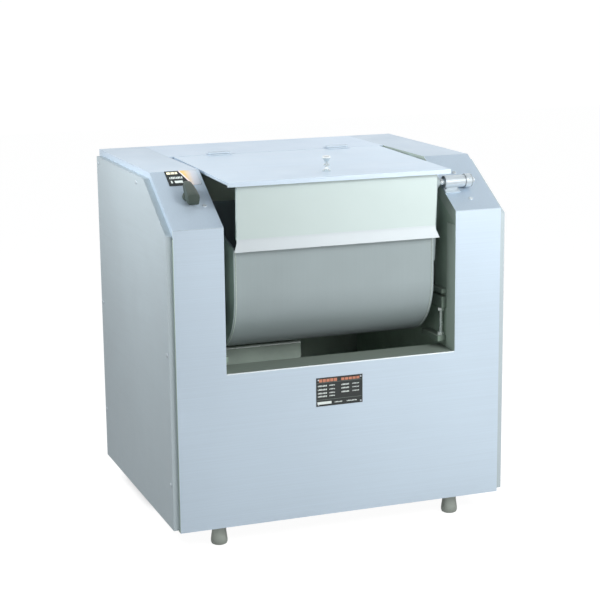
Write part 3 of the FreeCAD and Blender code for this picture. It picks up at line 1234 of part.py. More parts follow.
def lid_rest(sign):
    y = (f"({FRONT} + Sizes.rest_setback)", f"({FRONT} + Sizes.rest_setback + Sizes.rest_length)")
    top = f"({lid_line(y[0], 'Sizes.lid_edge')} - Sizes.rest_gap)"
    inner = f"({BAY} - Sizes.rest_width)"
    shelf = [inner, BAY]
    leg = [f"({BAY} - {SHEET})", BAY]
    if sign == "-":
        shelf = [f"-{BAY}", f"-{inner}"]
        leg = [f"-{BAY}", f"-({BAY} - {SHEET})"]
    height = (f"{top} - {SHEET}", top)
    return fuse(block(shelf, y, height), block(leg, y, (f"{DECK} - Sizes.inner_drop", top)))


keep("lid_rests", group(lid_rest("-"), lid_rest("+")))


# Lock bolt on the right slope, and the latch on the trough that it enters

def build_lock():
    across = "Sizes.lock_along"
    low = f"({BAY} + Sizes.lock_edge)"
    high = f"({BAY} + Sizes.lock_edge + Sizes.lock_bracket)"
    body = lay_on_slope(new_body())
    add_pad(body, "X", low, high, rectangle(
        f"{across} - Sizes.lock_foot_half", f"{across} + Sizes.lock_foot_half", "0", "Sizes.lock_foot"))
    inset = "Sizes.lock_block_inset"
    half = "Sizes.lock_block_half"
    add_pad(body, "X", f"{low} + {inset}", f"{high} - {inset}", rectangle(
        f"{across} - {half}", f"{across} + {half}", "Sizes.lock_foot", LOCK_RISE))
    seat = lay_on_slope(new_body())
    sketch = new_sketch(seat, "X", low)
    draw_circle(sketch, across, LOCK_RISE, "Sizes.lock_radius")
    pad = seat.newObject("PartDesign::Pad", fresh("Pad"))
    pad.Profile = sketch
    pad.setExpression("Length", "Sizes.lock_bracket")
    keep("lock_bracket", cut(body, seat))


LOCK_Y = f"({FRONT} + Sizes.lock_along / {SLANT} - {LOCK_RISE} * {GRADE} / {SLANT})"
LOCK_Z = f"({FACE_TOP} + Sizes.lock_along * {GRADE} / {SLANT} + {LOCK_RISE} / {SLANT})"
BARREL_END = f"({LOCK_FRONT} + Sizes.lock_barrel)"
CAP_FACE = f"({BARREL_END} - Sizes.lock_cap_overlap)"
CAP_FLOOR = f"({BARREL_END} + Sizes.lock_travel + Sizes.lock_stop_gap)"
CAP_END = f"({CAP_FLOOR} + Sizes.lock_cap_top)"
CAP_INSIDE = "(Sizes.lock_radius + Sizes.lock_cap_gap)"
CAP_OUTSIDE = "(Sizes.lock_radius + Sizes.lock_cap_gap + Sizes.lock_cap_wall)"
build_lock()
pin_bore = "(Sizes.lock_pin_radius + Sizes.running_gap)"
edge = "Sizes.lock_edge"
keep("lock_housing", turned("X", [
    (pin_bore, LOCK_FRONT), (f"Sizes.lock_radius - {edge}", LOCK_FRONT),
    ("Sizes.lock_radius", f"{LOCK_FRONT} + {edge}"), ("Sizes.lock_radius", f"{BARREL_END} - {edge}"),
    (f"Sizes.lock_radius - {edge}", BARREL_END), (pin_bore, BARREL_END)], y=LOCK_Y, z=LOCK_Z))
keep("lock_pin", turned("X", [
    ("0", PIN_TIP), ("Sizes.lock_pin_radius * 0.7", PIN_TIP),
    ("Sizes.lock_pin_radius", f"{PIN_TIP} + Sizes.pin_taper"), ("Sizes.lock_pin_radius", CAP_FLOOR),
    ("0", CAP_FLOOR)], y=LOCK_Y, z=LOCK_Z))
ball = "Sizes.lock_ball"
keep("lock_knob", turned("X", [
    ("0", CAP_FLOOR), (CAP_INSIDE, CAP_FLOOR), (CAP_INSIDE, CAP_FACE), (CAP_OUTSIDE, CAP_FACE),
    (CAP_OUTSIDE, f"{CAP_END} - {edge}"), (f"{CAP_OUTSIDE} - {edge}", CAP_END), (f"{ball} * 0.42", CAP_END),
    (f"{ball} * 0.6", f"{CAP_END} + {ball} * 0.3"), (f"{ball} * 0.65", f"{CAP_END} + {ball} * 0.6"),
    (f"{ball} * 0.45", f"{CAP_END} + {ball} * 0.9"), ("0", f"{CAP_END} + {ball}")],
    y=LOCK_Y, z=LOCK_Z))


def build_latch():
    radius = "Sizes.latch_radius"
    inset = "Sizes.latch_spacer_inset"
    plate_x = (LATCH_IN, f"{LATCH_IN} + Sizes.latch_plate")
    root_y = (f"{AXIS_Y} - Sizes.latch_root_front", f"{AXIS_Y} - Sizes.latch_root_rear")
    root_z = (f"{AXIS_Z} + Sizes.latch_root_low", f"{AXIS_Z} + Sizes.latch_root_high")
    arm = padded("X", *plate_x, [
        (root_y[0], root_z[0]), (root_y[1], root_z[0]), (root_y[1], root_z[1]),
        (f"{LOCK_Y} + {radius}", LOCK_Z), (f"{LOCK_Y} - {radius}", LOCK_Z)])
    eye = rod("X", radius, *plate_x, LOCK_Y, LOCK_Z)
    boss = rod("X", f"{radius} - Sizes.latch_boss_step", LATCH_IN, LATCH_OUT, LOCK_Y, LOCK_Z)
    spacer = block((TROUGH_SIDE, LATCH_IN), (f"{root_y[0]} + {inset}", f"{root_y[1]} - {inset}"),
                   (f"{root_z[0]} + {inset}", f"{root_z[1]} - {inset} * 2"))
    hole = rod("X", "Sizes.lock_pin_radius + Sizes.latch_pin_gap", LATCH_IN, LATCH_OUT, LOCK_Y, LOCK_Z)
    keep("trough_latch", group(spacer, cut(fuse(arm, eye, boss), hole)))


build_latch()


# Rotary switch on the left slope

def slope_block(low_x, high_x, low_u, high_u, low_w, high_w):
    body = lay_on_slope(new_body())
    add_pad(body, "Z", low_w, high_w, rectangle(low_x, high_x, low_u, high_u))
    return body


def build_switch():
    x = SWITCH_X
    u = "Sizes.switch_along"
    half = "Sizes.switch_body / 2"
    body = slope_block(f"{x} - {half}", f"{x} + {half}", f"{u} - {half}", f"{u} + {half}",
                       f"-{SHEET} - Sizes.switch_depth", f"-{SHEET}")
    keep("switch_body", body)
    turn_knob = lay_on_slope(new_body())
    for radius, low, high in (
            ("Sizes.spindle_radius", f"-{SHEET} + Sizes.spindle_end_gap", "Sizes.dial_gap"),
            ("Sizes.dial_radius", "Sizes.dial_gap", "Sizes.dial_height")):
        sketch = new_sketch(turn_knob, "Z", low)
        draw_circle(sketch, x, u, radius)
        pad = turn_knob.newObject("PartDesign::Pad", fresh("Pad"))
        pad.Profile = sketch
        pad.setExpression("Length", f"({high}) - ({low})")
    length = "Sizes.handle_length / 2"
    width = "Sizes.handle_width / 2"
    add_pad(turn_knob, "Z", "Sizes.dial_height", "Sizes.dial_height + Sizes.handle_height", [
        (f"{x} - {width} * 0.8", f"{u} - {length}"), (f"{x} + {width} * 0.8", f"{u} - {length}"),
        (f"{x} + {width}", f"{u} - {length} * 0.8"), (f"{x} + {width}", f"{u} + {length} * 0.3"),
        (f"{x} + {width} * 0.55", f"{u} + {length}"), (f"{x} - {width} * 0.55", f"{u} + {length}"),
        (f"{x} - {width}", f"{u} + {length} * 0.3"), (f"{x} - {width}", f"{u} - {length} * 0.8")])
    keep("switch_knob", turn_knob)
    low = f"{u} + Sizes.label_gap"
    keep("switch_plate", slope_block(f"{x} - Sizes.label_width / 2", f"{x} + Sizes.label_width / 2",
                                     low, f"{low} + Sizes.label_depth", "0", "Sizes.label_plate"))


build_switch()


# Plain plate on the front panel, with its rivets

NAME_LOW = f"({BOTTOM} + Sizes.name_bottom)"
name_x = ("Sizes.name_offset - Sizes.name_width / 2", "Sizes.name_offset + Sizes.name_width / 2")
keep("name_plate", block(name_x, (f"{FRONT} - Sizes.name_plate", FRONT),
                         (NAME_LOW, f"{NAME_LOW} + Sizes.name_height")))
rivets = []
for x in (f"{name_x[0]} + Sizes.name_margin", f"{name_x[1]} - Sizes.name_margin"):
    for z in (f"{NAME_LOW} + Sizes.name_margin", f"{NAME_LOW} + Sizes.name_height - Sizes.name_margin"):
        rivets.append(rod("Y", "Sizes.rivet_radius", f"{FRONT} - Sizes.name_plate - Sizes.rivet_head",
                          f"{FRONT} - Sizes.name_plate", x, z))
keep("name_plate_rivets", group(*rivets))


# Cover screws on the sides, the back and the slopes

def build_screws():
    head = "Sizes.screw_head_radius"
    top_z = f"{COVER_TOP} - Sizes.cover_screw_inset"
    rear_y = f"{COVER_REAR} - Sizes.cover_screw_inset"
    front_y = f"{COVER_FRONT} + Sizes.front_screw_inset"
    side_places = [
        (f"{SLOPE_END} + Sizes.cover_screw_lead", top_z), (rear_y, top_z),
        (rear_y, f"{BOTTOM} + Sizes.rear_edge_high"), (rear_y, f"{BOTTOM} + Sizes.rear_edge_low"),
        (front_y, f"{BOTTOM} + Sizes.front_edge_low"), (front_y, f"{BOTTOM} + Sizes.front_edge_high")]
    screws = []
    for y, z in side_places:
        screws.append(rod("X", head, f"-{COVER_FACE} - Sizes.screw_head", f"-{COVER_FACE}", y, z))
        screws.append(rod("X", head, COVER_FACE, f"{COVER_FACE} + Sizes.screw_head", y, z))
    for x in (f"-{HALF} + Sizes.back_screw_inset", f"{HALF} - Sizes.back_screw_inset"):
        for z in (f"{BOTTOM} + Sizes.back_screw_low", f"{BOTTOM} + Sizes.back_screw_middle",
                  f"{REAR_LOW} - Sizes.back_screw_drop"):
            screws.append(rod("Y", head, REAR, f"{REAR} + Sizes.screw_head", x, z))
    for x, along in ((f"-{BAY} - Sizes.left_slope_screw", "Sizes.left_slope_along"),
                     (f"{BAY} + Sizes.right_slope_screw", "Sizes.right_slope_along"),
                     (f"{BAY} + Sizes.right_low_screw", "Sizes.right_low_along")):
        body = lay_on_slope(new_body())
        sketch = new_sketch(body, "Z", "0")
        draw_circle(sketch, x, along, head)
        pad = body.newObject("PartDesign::Pad", fresh("Pad"))
        pad.Profile = sketch
        pad.setExpression("Length", "Sizes.screw_head")
        screws.append(body)
    keep("cover_screws", group(*screws))


build_screws()


# Feet: bell-shaped pads on threaded studs

def build_feet():
    wide = "Sizes.foot_wide_radius"
    top = "Sizes.foot_top_radius"
    tall = "Sizes.foot_body"
    pads = []
    studs = []
    for x, y in FOOT_PLACES:
        pads.append(turned("Z", [
            ("0", "0"), (f"{wide} * 0.92", "0"), (wide, f"{tall} * 0.06"), (wide, f"{tall} * 0.2"),
            (f"{top} * 0.86", f"{tall} * 0.5"), (top, f"{tall} * 0.86"), (top, tall), ("0", tall)], x=x, y=y))
        studs.append(fuse(
            rod("Z", "Sizes.stud_radius", tall, f"{BOTTOM} + Sizes.stud_reach", x, y),
            rod("Z", "Sizes.stud_radius * 1.6", tall, BOTTOM, x, y)))
    keep("feet", group(*pads))
    keep("foot_studs", group(*studs))


build_feet()


# Cable gland, pointing down behind the left box

keep("cable_gland", turned("Z", [
    ("Sizes.gland_bore", "-Sizes.gland_length"), ("Sizes.gland_radius * 0.75", "-Sizes.gland_length"),
    ("Sizes.gland_radius", "-Sizes.gland_length * 0.7"), ("Sizes.gland_radius", "0"),
    ("Sizes.gland_thread", "0"), ("Sizes.gland_thread", "Sizes.gland_plate"),
    ("Sizes.gland_radius", "Sizes.gland_plate"),
    ("Sizes.gland_radius", "Sizes.gland_plate + Sizes.gland_nut"),
    ("Sizes.gland_bore", "Sizes.gland_plate + Sizes.gland_nut")],
    x=GLAND_X, y=GLAND_Y, z=BOTTOM))


# Check the document, then write each sub-part

doc.recompute()
faults = []
for feature in doc.Objects:
    if "Invalid" in feature.State or "Error" in feature.State:
        faults.append(f"{feature.Name} ({feature.Label}) {feature.State}")
for node, feature in sub_parts.items():
    if feature.Shape.isNull() or not feature.Shape.isValid() or not feature.Shape.Solids:
        faults.append(f"{node}: shape is empty or not valid")
if faults:
    raise RuntimeError("; ".join(faults))
os.makedirs("parts", exist_ok=True)
for node, feature in sub_parts.items():
    feature.Shape.exportStep(f"parts/{node}.step")
print(len(sub_parts), "sub-parts")
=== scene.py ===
import math

import bmesh
import bpy
from mathutils import Matrix, Vector


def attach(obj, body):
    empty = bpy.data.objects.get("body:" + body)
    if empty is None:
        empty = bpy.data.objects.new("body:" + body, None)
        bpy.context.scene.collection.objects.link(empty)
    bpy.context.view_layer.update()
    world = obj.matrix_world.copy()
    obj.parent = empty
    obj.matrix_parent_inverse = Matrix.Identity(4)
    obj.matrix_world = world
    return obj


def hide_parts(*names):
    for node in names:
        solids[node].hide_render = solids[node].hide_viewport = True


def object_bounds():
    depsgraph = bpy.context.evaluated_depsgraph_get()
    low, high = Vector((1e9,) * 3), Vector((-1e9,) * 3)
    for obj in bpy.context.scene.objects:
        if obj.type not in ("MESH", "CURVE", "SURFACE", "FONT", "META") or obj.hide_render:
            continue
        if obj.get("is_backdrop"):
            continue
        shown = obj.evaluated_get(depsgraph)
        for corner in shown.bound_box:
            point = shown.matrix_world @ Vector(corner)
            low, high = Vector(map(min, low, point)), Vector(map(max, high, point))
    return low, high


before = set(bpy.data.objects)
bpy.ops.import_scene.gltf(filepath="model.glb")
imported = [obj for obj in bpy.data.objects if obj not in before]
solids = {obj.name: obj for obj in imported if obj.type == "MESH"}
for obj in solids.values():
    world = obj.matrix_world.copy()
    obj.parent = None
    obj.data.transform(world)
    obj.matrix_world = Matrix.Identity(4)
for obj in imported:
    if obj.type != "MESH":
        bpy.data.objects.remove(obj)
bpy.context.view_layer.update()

# Camera, studio light and floor. The camera stands to the left of the machine and above its deck,
# with a long lens; the floor and the room are white, and soft lamps hang in front and above.

camera_lens = bpy.data.cameras.new("camera")
camera_lens.sensor_width = 36
camera_lens.lens = 99.343
camera_lens.clip_end = 50
camera = bpy.data.objects.new("camera", camera_lens)
camera.location = (-1.45827, -4.01415, 1.44929)
camera.rotation_euler = [math.radians(turn) for turn in (77.82516, 0.60832, -20.32034)]
bpy.context.scene.collection.objects.link(camera)
bpy.context.scene.camera = camera
bpy.context.scene.view_settings.view_transform = "Standard"


def hang_softbox(name, place, aim, size, watts, tint):
    """A square studio softbox that looks at a point, unseen in reflections."""
    light = bpy.data.lights.new(name, "AREA")
    light.shape = "SQUARE"
    light.size = size
    light.energy = watts
    light.color = tint
    softbox = bpy.data.objects.new(name, light)
    softbox.location = place
    softbox.rotation_euler = (Vector(aim) - Vector(place)).to_track_quat("-Z", "Y").to_euler()
    softbox.visible_glossy = False
    bpy.context.scene.collection.objects.link(softbox)


hang_softbox("key_light", (0.80, -1.65, 1.28), (0.15, -0.25, 0.7), 0.85, 44, (1.0, 0.995, 0.985))
hang_softbox("side_light", (-1.10, -0.15, 1.22), (-0.4, 0, 0.8), 0.5, 13, (0.95, 0.98, 1.0))
hang_softbox("top_light", (0.95, 0.35, 1.90), (0.3, 0.1, 0.9), 0.9, 17, (0.98, 0.99, 1.0))


def wire(tree, source, target):
    tree.links.new(source, target)


def add(tree, kind, **settings):
    """A shader node with its properties set."""
    made = tree.nodes.new(kind)
    for name, setting in settings.items():
        setattr(made, name, setting)
    return made


room = bpy.data.worlds.new("studio")
room.use_nodes = True
tree = room.node_tree
tree.nodes.clear()
seen = add(tree, "ShaderNodeLightPath")
direct = add(tree, "ShaderNodeMath", operation="MAXIMUM")
wire(tree, seen.outputs["Is Camera Ray"], direct.inputs[0])
wire(tree, seen.outputs["Is Transmission Ray"], direct.inputs[1])
heading = add(tree, "ShaderNodeTexCoord")
split = add(tree, "ShaderNodeSeparateXYZ")
wire(tree, heading.outputs["Generated"], split.inputs[0])
sky = add(tree, "ShaderNodeValToRGB")
sky.color_ramp.elements[0].position = 0.18
sky.color_ramp.elements[0].color = (1.0, 1.0, 1.0, 1)
sky.color_ramp.elements[1].position = 0.85
sky.color_ramp.elements[1].color = (0.26, 0.28, 0.29, 1)
wire(tree, split.outputs["Z"], sky.inputs[0])
mirrored = add(tree, "ShaderNodeMapRange")
mirrored.inputs["To Min"].default_value = 0.5
mirrored.inputs["To Max"].default_value = 1.1
wire(tree, seen.outputs["Is Glossy Ray"], mirrored.inputs["Value"])
dim = add(tree, "ShaderNodeBackground")
wire(tree, mirrored.outputs[0], dim.inputs["Strength"])
wire(tree, sky.outputs["Color"], dim.inputs["Color"])
white = add(tree, "ShaderNodeBackground")
white.inputs["Color"].default_value = (1, 1, 1, 1)
white.inputs["Strength"].default_value = 1.02
both = add(tree, "ShaderNodeMixShader")
wire(tree, direct.outputs[0], both.inputs[0])
wire(tree, dim.outputs[0], both.inputs[1])
wire(tree, white.outputs[0], both.inputs[2])
wire(tree, both.outputs[0], add(tree, "ShaderNodeOutputWorld").inputs["Surface"])
bpy.context.scene.world = room

floor_look = bpy.data.materials.new("floor_white")
floor_look.use_nodes = True
tree = floor_look.node_tree
tree.nodes.clear()
seen = add(tree, "ShaderNodeLightPath")
direct = add(tree, "ShaderNodeMath", operation="MAXIMUM")
wire(tree, seen.outputs["Is Camera Ray"], direct.inputs[0])
dulled = add(tree, "ShaderNodeMath", operation="MULTIPLY")
dulled.inputs[1].default_value = 0.34
wire(tree, seen.outputs["Is Glossy Ray"], dulled.inputs[0])
wire(tree, dulled.outputs[0], direct.inputs[1])
share = add(tree, "ShaderNodeMath", operation="MULTIPLY")
share.inputs[1].default_value = 0.85
wire(tree, direct.outputs[0], share.inputs[0])
ground = add(tree, "ShaderNodeTexCoord")
footprint = add(tree, "ShaderNodeSeparateXYZ")
wire(tree, ground.outputs["Object"], footprint.inputs[0])
beneath = add(tree, "ShaderNodeMath", operation="MULTIPLY")
for number, (axis, centre, inner, outer) in enumerate((("X", 0.0, 0.34, 0.42), ("Y", 0.155, 0.10, 0.18))):
    offset = add(tree, "ShaderNodeMath", operation="SUBTRACT")
    offset.inputs[1].default_value = centre
    wire(tree, footprint.outputs[axis], offset.inputs[0])
    distance = add(tree, "ShaderNodeMath", operation="ABSOLUTE")
    wire(tree, offset.outputs[0], distance.inputs[0])
    edge = add(tree, "ShaderNodeMapRange")
    edge.inputs["From Min"].default_value = outer
    edge.inputs["From Max"].default_value = inner
    wire(tree, distance.outputs[0], edge.inputs["Value"])
    wire(tree, edge.outputs[0], beneath.inputs[number])
open_floor = add(tree, "ShaderNodeMath", operation="SUBTRACT")
open_floor.inputs[0].default_value = 1.0
wire(tree, beneath.outputs[0], open_floor.inputs[1])
glowing = add(tree, "ShaderNodeMath", operation="MULTIPLY")
wire(tree, share.outputs[0], glowing.inputs[0])
wire(tree, open_floor.outputs[0], glowing.inputs[1])
paper_tone = add(tree, "ShaderNodeMix", data_type="RGBA")
wire(tree, seen.outputs["Is Camera Ray"], paper_tone.inputs["Factor"])
paper_tone.inputs["A"].default_value = (0.26, 0.265, 0.265, 1)
paper_tone.inputs["B"].default_value = (0.95, 0.95, 0.95, 1)
paper = add(tree, "ShaderNodeBsdfDiffuse")
wire(tree, paper_tone.outputs["Result"], paper.inputs["Color"])
glow = add(tree, "ShaderNodeEmission")
glow.inputs["Strength"].default_value = 1.13
both = add(tree, "ShaderNodeMixShader")
wire(tree, glowing.outputs[0], both.inputs[0])
wire(tree, paper.outputs[0], both.inputs[1])
wire(tree, glow.outputs[0], both.inputs[2])
wire(tree, both.outputs[0], add(tree, "ShaderNodeOutputMaterial").inputs["Surface"])
floor_mesh = bpy.data.meshes.new("floor")
floor_mesh.from_pydata([(-9, -9, 0), (9, -9, 0), (9, 9, 0), (-9, 9, 0)], [], [(0, 1, 2, 3)])
floor_mesh.materials.append(floor_look)
floor = bpy.data.objects.new("floor", floor_mesh)
bpy.context.scene.collection.objects.link(floor)
floor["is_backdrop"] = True


# Welded frame: channels, angle uprights and rails in grey primer, and the two 10 mm plates that
# carry the bearings. Hot-rolled steel, brushed with paint, so its skin is a little uneven.

def new_group(name, inputs, outputs):
    """An empty shader node group with named sockets."""
    group = bpy.data.node_groups.new(name, "ShaderNodeTree")
    for label, kind, start in inputs:
        socket = group.interface.new_socket(label, in_out="INPUT", socket_type=kind)
        if start is not None:
            socket.default_value = start
    for label, kind in outputs:
        group.interface.new_socket(label, in_out="OUTPUT", socket_type=kind)
    return group, add(group, "NodeGroupInput"), add(group, "NodeGroupOutput")


COLOUR, NUMBER, VECTOR = "NodeSocketColor", "NodeSocketFloat", "NodeSocketVector"


def scaled_noise(group, stretch, scale, detail=4.0, roughness=0.6):
    """Noise over the object's own coordinates, which may be stretched along an axis."""
    place = add(group, "ShaderNodeTexCoord")
    noise = add(group, "ShaderNodeTexNoise")
    noise.inputs["Scale"].default_value = scale
    noise.inputs["Detail"].default_value = detail
    noise.inputs["Roughness"].default_value = roughness
    if stretch is None:
        wire(group, place.outputs["Object"], noise.inputs["Vector"])
    else:
        squeeze = add(group, "ShaderNodeVectorMath", operation="MULTIPLY")
        wire(group, place.outputs["Object"], squeeze.inputs[0])
        wire(group, stretch, squeeze.inputs[1])
        wire(group, squeeze.outputs[0], noise.inputs["Vector"])
    return noise.outputs["Fac"]


def spread(group, source, low, high, start=0.3, end=0.7):
    """Map a noise value to a range; low and high are numbers or sockets."""
    ramp = add(group, "ShaderNodeMapRange")
    wire(group, source, ramp.inputs["Value"])
    ramp.inputs["From Min"].default_value = start
    ramp.inputs["From Max"].default_value = end
    for label, limit in (("To Min", low), ("To Max", high)):
        if isinstance(limit, (int, float)):
            ramp.inputs[label].default_value = limit
        else:
            wire(group, limit, ramp.inputs[label])
    return ramp.outputs[0]


def sum_of(group, operation, first, second):
    made = add(group, "ShaderNodeMath", operation=operation)
    for number, term in enumerate((first, second)):
        if isinstance(term, (int, float)):
            made.inputs[number].default_value = term
        else:
            wire(group, term, made.inputs[number])
    return made.outputs[0]


def shade(group, colour, factor):
    """A colour made lighter or darker by a factor."""
    made = add(group, "ShaderNodeVectorMath", operation="SCALE")
    wire(group, colour, made.inputs[0])
    wire(group, factor, made.inputs["Scale"])
    return made.outputs[0]


def build_uneven_skin():
    """Cast or painted skin: cloudy colour, small bumps, and pale dust on what faces up."""
    group, given, result = new_group("uneven_skin", [
        ("Colour", COLOUR, (0.5, 0.5, 0.5, 1)), ("Cloud", NUMBER, 0.08), ("Grain Size", NUMBER, 300.0),
        ("Roughness", NUMBER, 0.5), ("Dust", NUMBER, 0.15)],
        [("Colour", COLOUR), ("Roughness", NUMBER), ("Height", NUMBER)])
    place = add(group, "ShaderNodeTexCoord")
    fine = add(group, "ShaderNodeTexNoise")
    fine.inputs["Detail"].default_value = 3
    wire(group, place.outputs["Object"], fine.inputs["Vector"])
    wire(group, given.outputs["Grain Size"], fine.inputs["Scale"])
    cloud = scaled_noise(group, None, 9, 5)
    low = sum_of(group, "SUBTRACT", 1.0, given.outputs["Cloud"])
    high = sum_of(group, "ADD", 1.0, given.outputs["Cloud"])
    toned = shade(group, given.outputs["Colour"], spread(group, cloud, low, high))
    facing = add(group, "ShaderNodeNewGeometry")
    parts = add(group, "ShaderNodeSeparateXYZ")
    wire(group, facing.outputs["Normal"], parts.inputs[0])
    upward = spread(group, parts.outputs["Z"], 0.0, given.outputs["Dust"], 0.5, 1.0)
    patches = sum_of(group, "MULTIPLY", upward, spread(group, fine.outputs["Fac"], 0.4, 1.0, 0.35, 0.6))
    dusty = add(group, "ShaderNodeMix", data_type="RGBA")
    wire(group, patches, dusty.inputs["Factor"])
    wire(group, toned, dusty.inputs["A"])
    dusty.inputs["B"].default_value = (0.55, 0.55, 0.52, 1)
    wire(group, dusty.outputs["Result"], result.inputs["Colour"])
    rough = sum_of(group, "ADD", given.outputs["Roughness"], spread(group, cloud, -0.06, 0.08))
    wire(group, rough, result.inputs["Roughness"])
    wire(group, fine.outputs["Fac"], result.inputs["Height"])
    return group


uneven_skin = build_uneven_skin()


def start_material(name):
    """A new material with only its surface shader and its output."""
    material = bpy.data.materials.new(name)
    material.use_nodes = True
    tree = material.node_tree
    return material, tree, tree.nodes["Principled BSDF"]


def place_group(tree, group, values):
    made = add(tree, "ShaderNodeGroup", node_tree=group)
    for label, number in values.items():
        made.inputs[label].default_value = number
    return made


def roughen(tree, shader, height, depth, strength=0.6):
    """Feed a height to the shader's normal through a bump node."""
    bump = add(tree, "ShaderNodeBump")
    bump.inputs["Strength"].default_value = strength
    bump.inputs["Distance"].default_value = depth
    wire(tree, height, bump.inputs["Height"])
    wire(tree, bump.outputs["Normal"], shader.inputs["Normal"])


def skin_material(name, colour, metal, roughness, cloud=0.08, grain=300.0, dust=0.1, depth=0.0003, coat=0.0):
    material, tree, shader = start_material(name)
    skin = place_group(tree, uneven_skin, {
        "Colour": (*colour, 1), "Cloud": cloud, "Grain Size": grain, "Roughness": roughness, "Dust": dust})
    wire(tree, skin.outputs["Colour"], shader.inputs["Base Color"])
    wire(tree, skin.outputs["Roughness"], shader.inputs["Roughness"])
    shader.inputs["Metallic"].default_value = metal
    shader.inputs["Coat Weight"].default_value = coat
    roughen(tree, shader, skin.outputs["Height"], depth)
    return material


def dress(material, *names, bevel=0.0):
    """Give a material to CAD nodes, and soften their sharp edges by a bevel's width."""
    for name in names:
        node = solids[name]
        if not node.material_slots:
            node.data.materials.append(None)
        for slot in node.material_slots:
            slot.link = "OBJECT"
            slot.material = material
        if bevel:
            soften(node, bevel)


def soften(piece, width, segments=2):
    edge = piece.modifiers.new("softened_edges", "BEVEL")
    edge.width = width
    edge.segments = segments
    edge.limit_method = "ANGLE"
    edge.angle_limit = math.radians(35)
    edge.harden_normals = False


frame_primer = skin_material("frame_primer", (0.20, 0.25, 0.215), 0.0, 0.55, cloud=0.12, dust=0.2)
dress(frame_primer, "base_frame", "corner_uprights", "side_rails", "cross_beams", bevel=0.0008)
plate_steel = skin_material("plate_steel", (0.42, 0.54, 0.45), 0.0, 0.5, cloud=0.16, grain=120, dust=0.1)
dress(plate_steel, "left_side_plate", "right_side_plate", "motor_plate", bevel=0.0006)


# Feet: bell-shaped pads on zinc-plated studs that screw into the base frame.
# The pads are moulded in a metallic grey nylon with a fine texture.

foot_nylon = skin_material("foot_nylon", (0.40, 0.44, 0.40), 0.7, 0.32, cloud=0.1, grain=900, dust=0.1)


# Sheet-metal body: satin stainless panels with a fine horizontal grain, folded at their edges.
# Laser-cut, bent and screwed to the frame; the folds have a small radius that catches the light.

def build_brushed_grain():
    """Brushed sheet: long fine streaks, broad faint clouds and a little variation of the gloss."""
    group, given, result = new_group("brushed_grain", [
        ("Colour", COLOUR, (0.6, 0.6, 0.6, 1)), ("Stretch", VECTOR, (3.0, 3.0, 400.0)),
        ("Contrast", NUMBER, 0.04), ("Roughness", NUMBER, 0.35), ("Smudge", NUMBER, 0.03)],
        [("Colour", COLOUR), ("Roughness", NUMBER), ("Height", NUMBER)])
    streak = scaled_noise(group, given.outputs["Stretch"], 1.0, 6, 0.65)
    low = sum_of(group, "SUBTRACT", 1.0, given.outputs["Contrast"])
    high = sum_of(group, "ADD", 1.0, given.outputs["Contrast"])
    lined = shade(group, given.outputs["Colour"], spread(group, streak, low, high))
    cloud = scaled_noise(group, None, 2.6, 3)
    dull = sum_of(group, "SUBTRACT", 1.0, given.outputs["Smudge"])
    toned = shade(group, lined, spread(group, cloud, dull, 1.0))
    wire(group, toned, result.inputs["Colour"])
    rub = scaled_noise(group, None, 11, 4)
    rough = sum_of(group, "ADD", given.outputs["Roughness"], spread(group, streak, -0.04, 0.04))
    rough = sum_of(group, "ADD", rough, spread(group, rub, -0.03, 0.05))
    wire(group, rough, result.inputs["Roughness"])
    wire(group, streak, result.inputs["Height"])
    return group


brushed_grain = build_brushed_grain()


def brushed_material(name, colour, stretch, metal=0.8, roughness=0.38, contrast=0.03, smudge=0.04, depth=0.0001,
                     folds=None, painted_light_tone=(0.50, 0.60, 0.53)):
    """Brushed steel; folds (a direction and two limits) paints the sides that face away from it in a separate tone,
    painted light and shade for the bay, darker where they face up.
    """
    material, tree, shader = start_material(name)
    grain = place_group(tree, brushed_grain, {
        "Colour": (*colour, 1), "Stretch": stretch, "Contrast": contrast, "Roughness": roughness,
        "Smudge": smudge})
    tone = grain.outputs["Colour"]
    if folds:
        facing = add(tree, "ShaderNodeNewGeometry")
        turned = add(tree, "ShaderNodeVectorMath", operation="DOT_PRODUCT")
        wire(tree, facing.outputs["Normal"], turned.inputs[0])
        turned.inputs[1].default_value = folds[0]
        inward = spread(tree, turned.outputs["Value"], 1.0, 0.0, *folds[1:])
        # Painted shade: the turned-away sides take the given tone, scaled down to a third where they face up, as on the
        # sill.
        upward = add(tree, "ShaderNodeSeparateXYZ")
        wire(tree, facing.outputs["Normal"], upward.inputs[0])
        painted_light_colour = add(tree, "ShaderNodeVectorMath", operation="SCALE")
        painted_light_colour.inputs[0].default_value = painted_light_tone
        wire(tree, spread(tree, upward.outputs["Z"], 1.0, 0.34, 0.3, 0.8), painted_light_colour.inputs["Scale"])
        mill = add(tree, "ShaderNodeMix", data_type="RGBA")
        wire(tree, inward, mill.inputs["Factor"])
        wire(tree, tone, mill.inputs["A"])
        wire(tree, painted_light_colour.outputs[0], mill.inputs["B"])
        tone = mill.outputs["Result"]
        wire(tree, spread(tree, turned.outputs["Value"], 0.0, metal, *folds[1:]), shader.inputs["Metallic"])
    wire(tree, tone, shader.inputs["Base Color"])
    wire(tree, grain.outputs["Roughness"], shader.inputs["Roughness"])
    shader.inputs["Metallic"].default_value = metal
    roughen(tree, shader, grain.outputs["Height"], depth, 0.25)
    return material


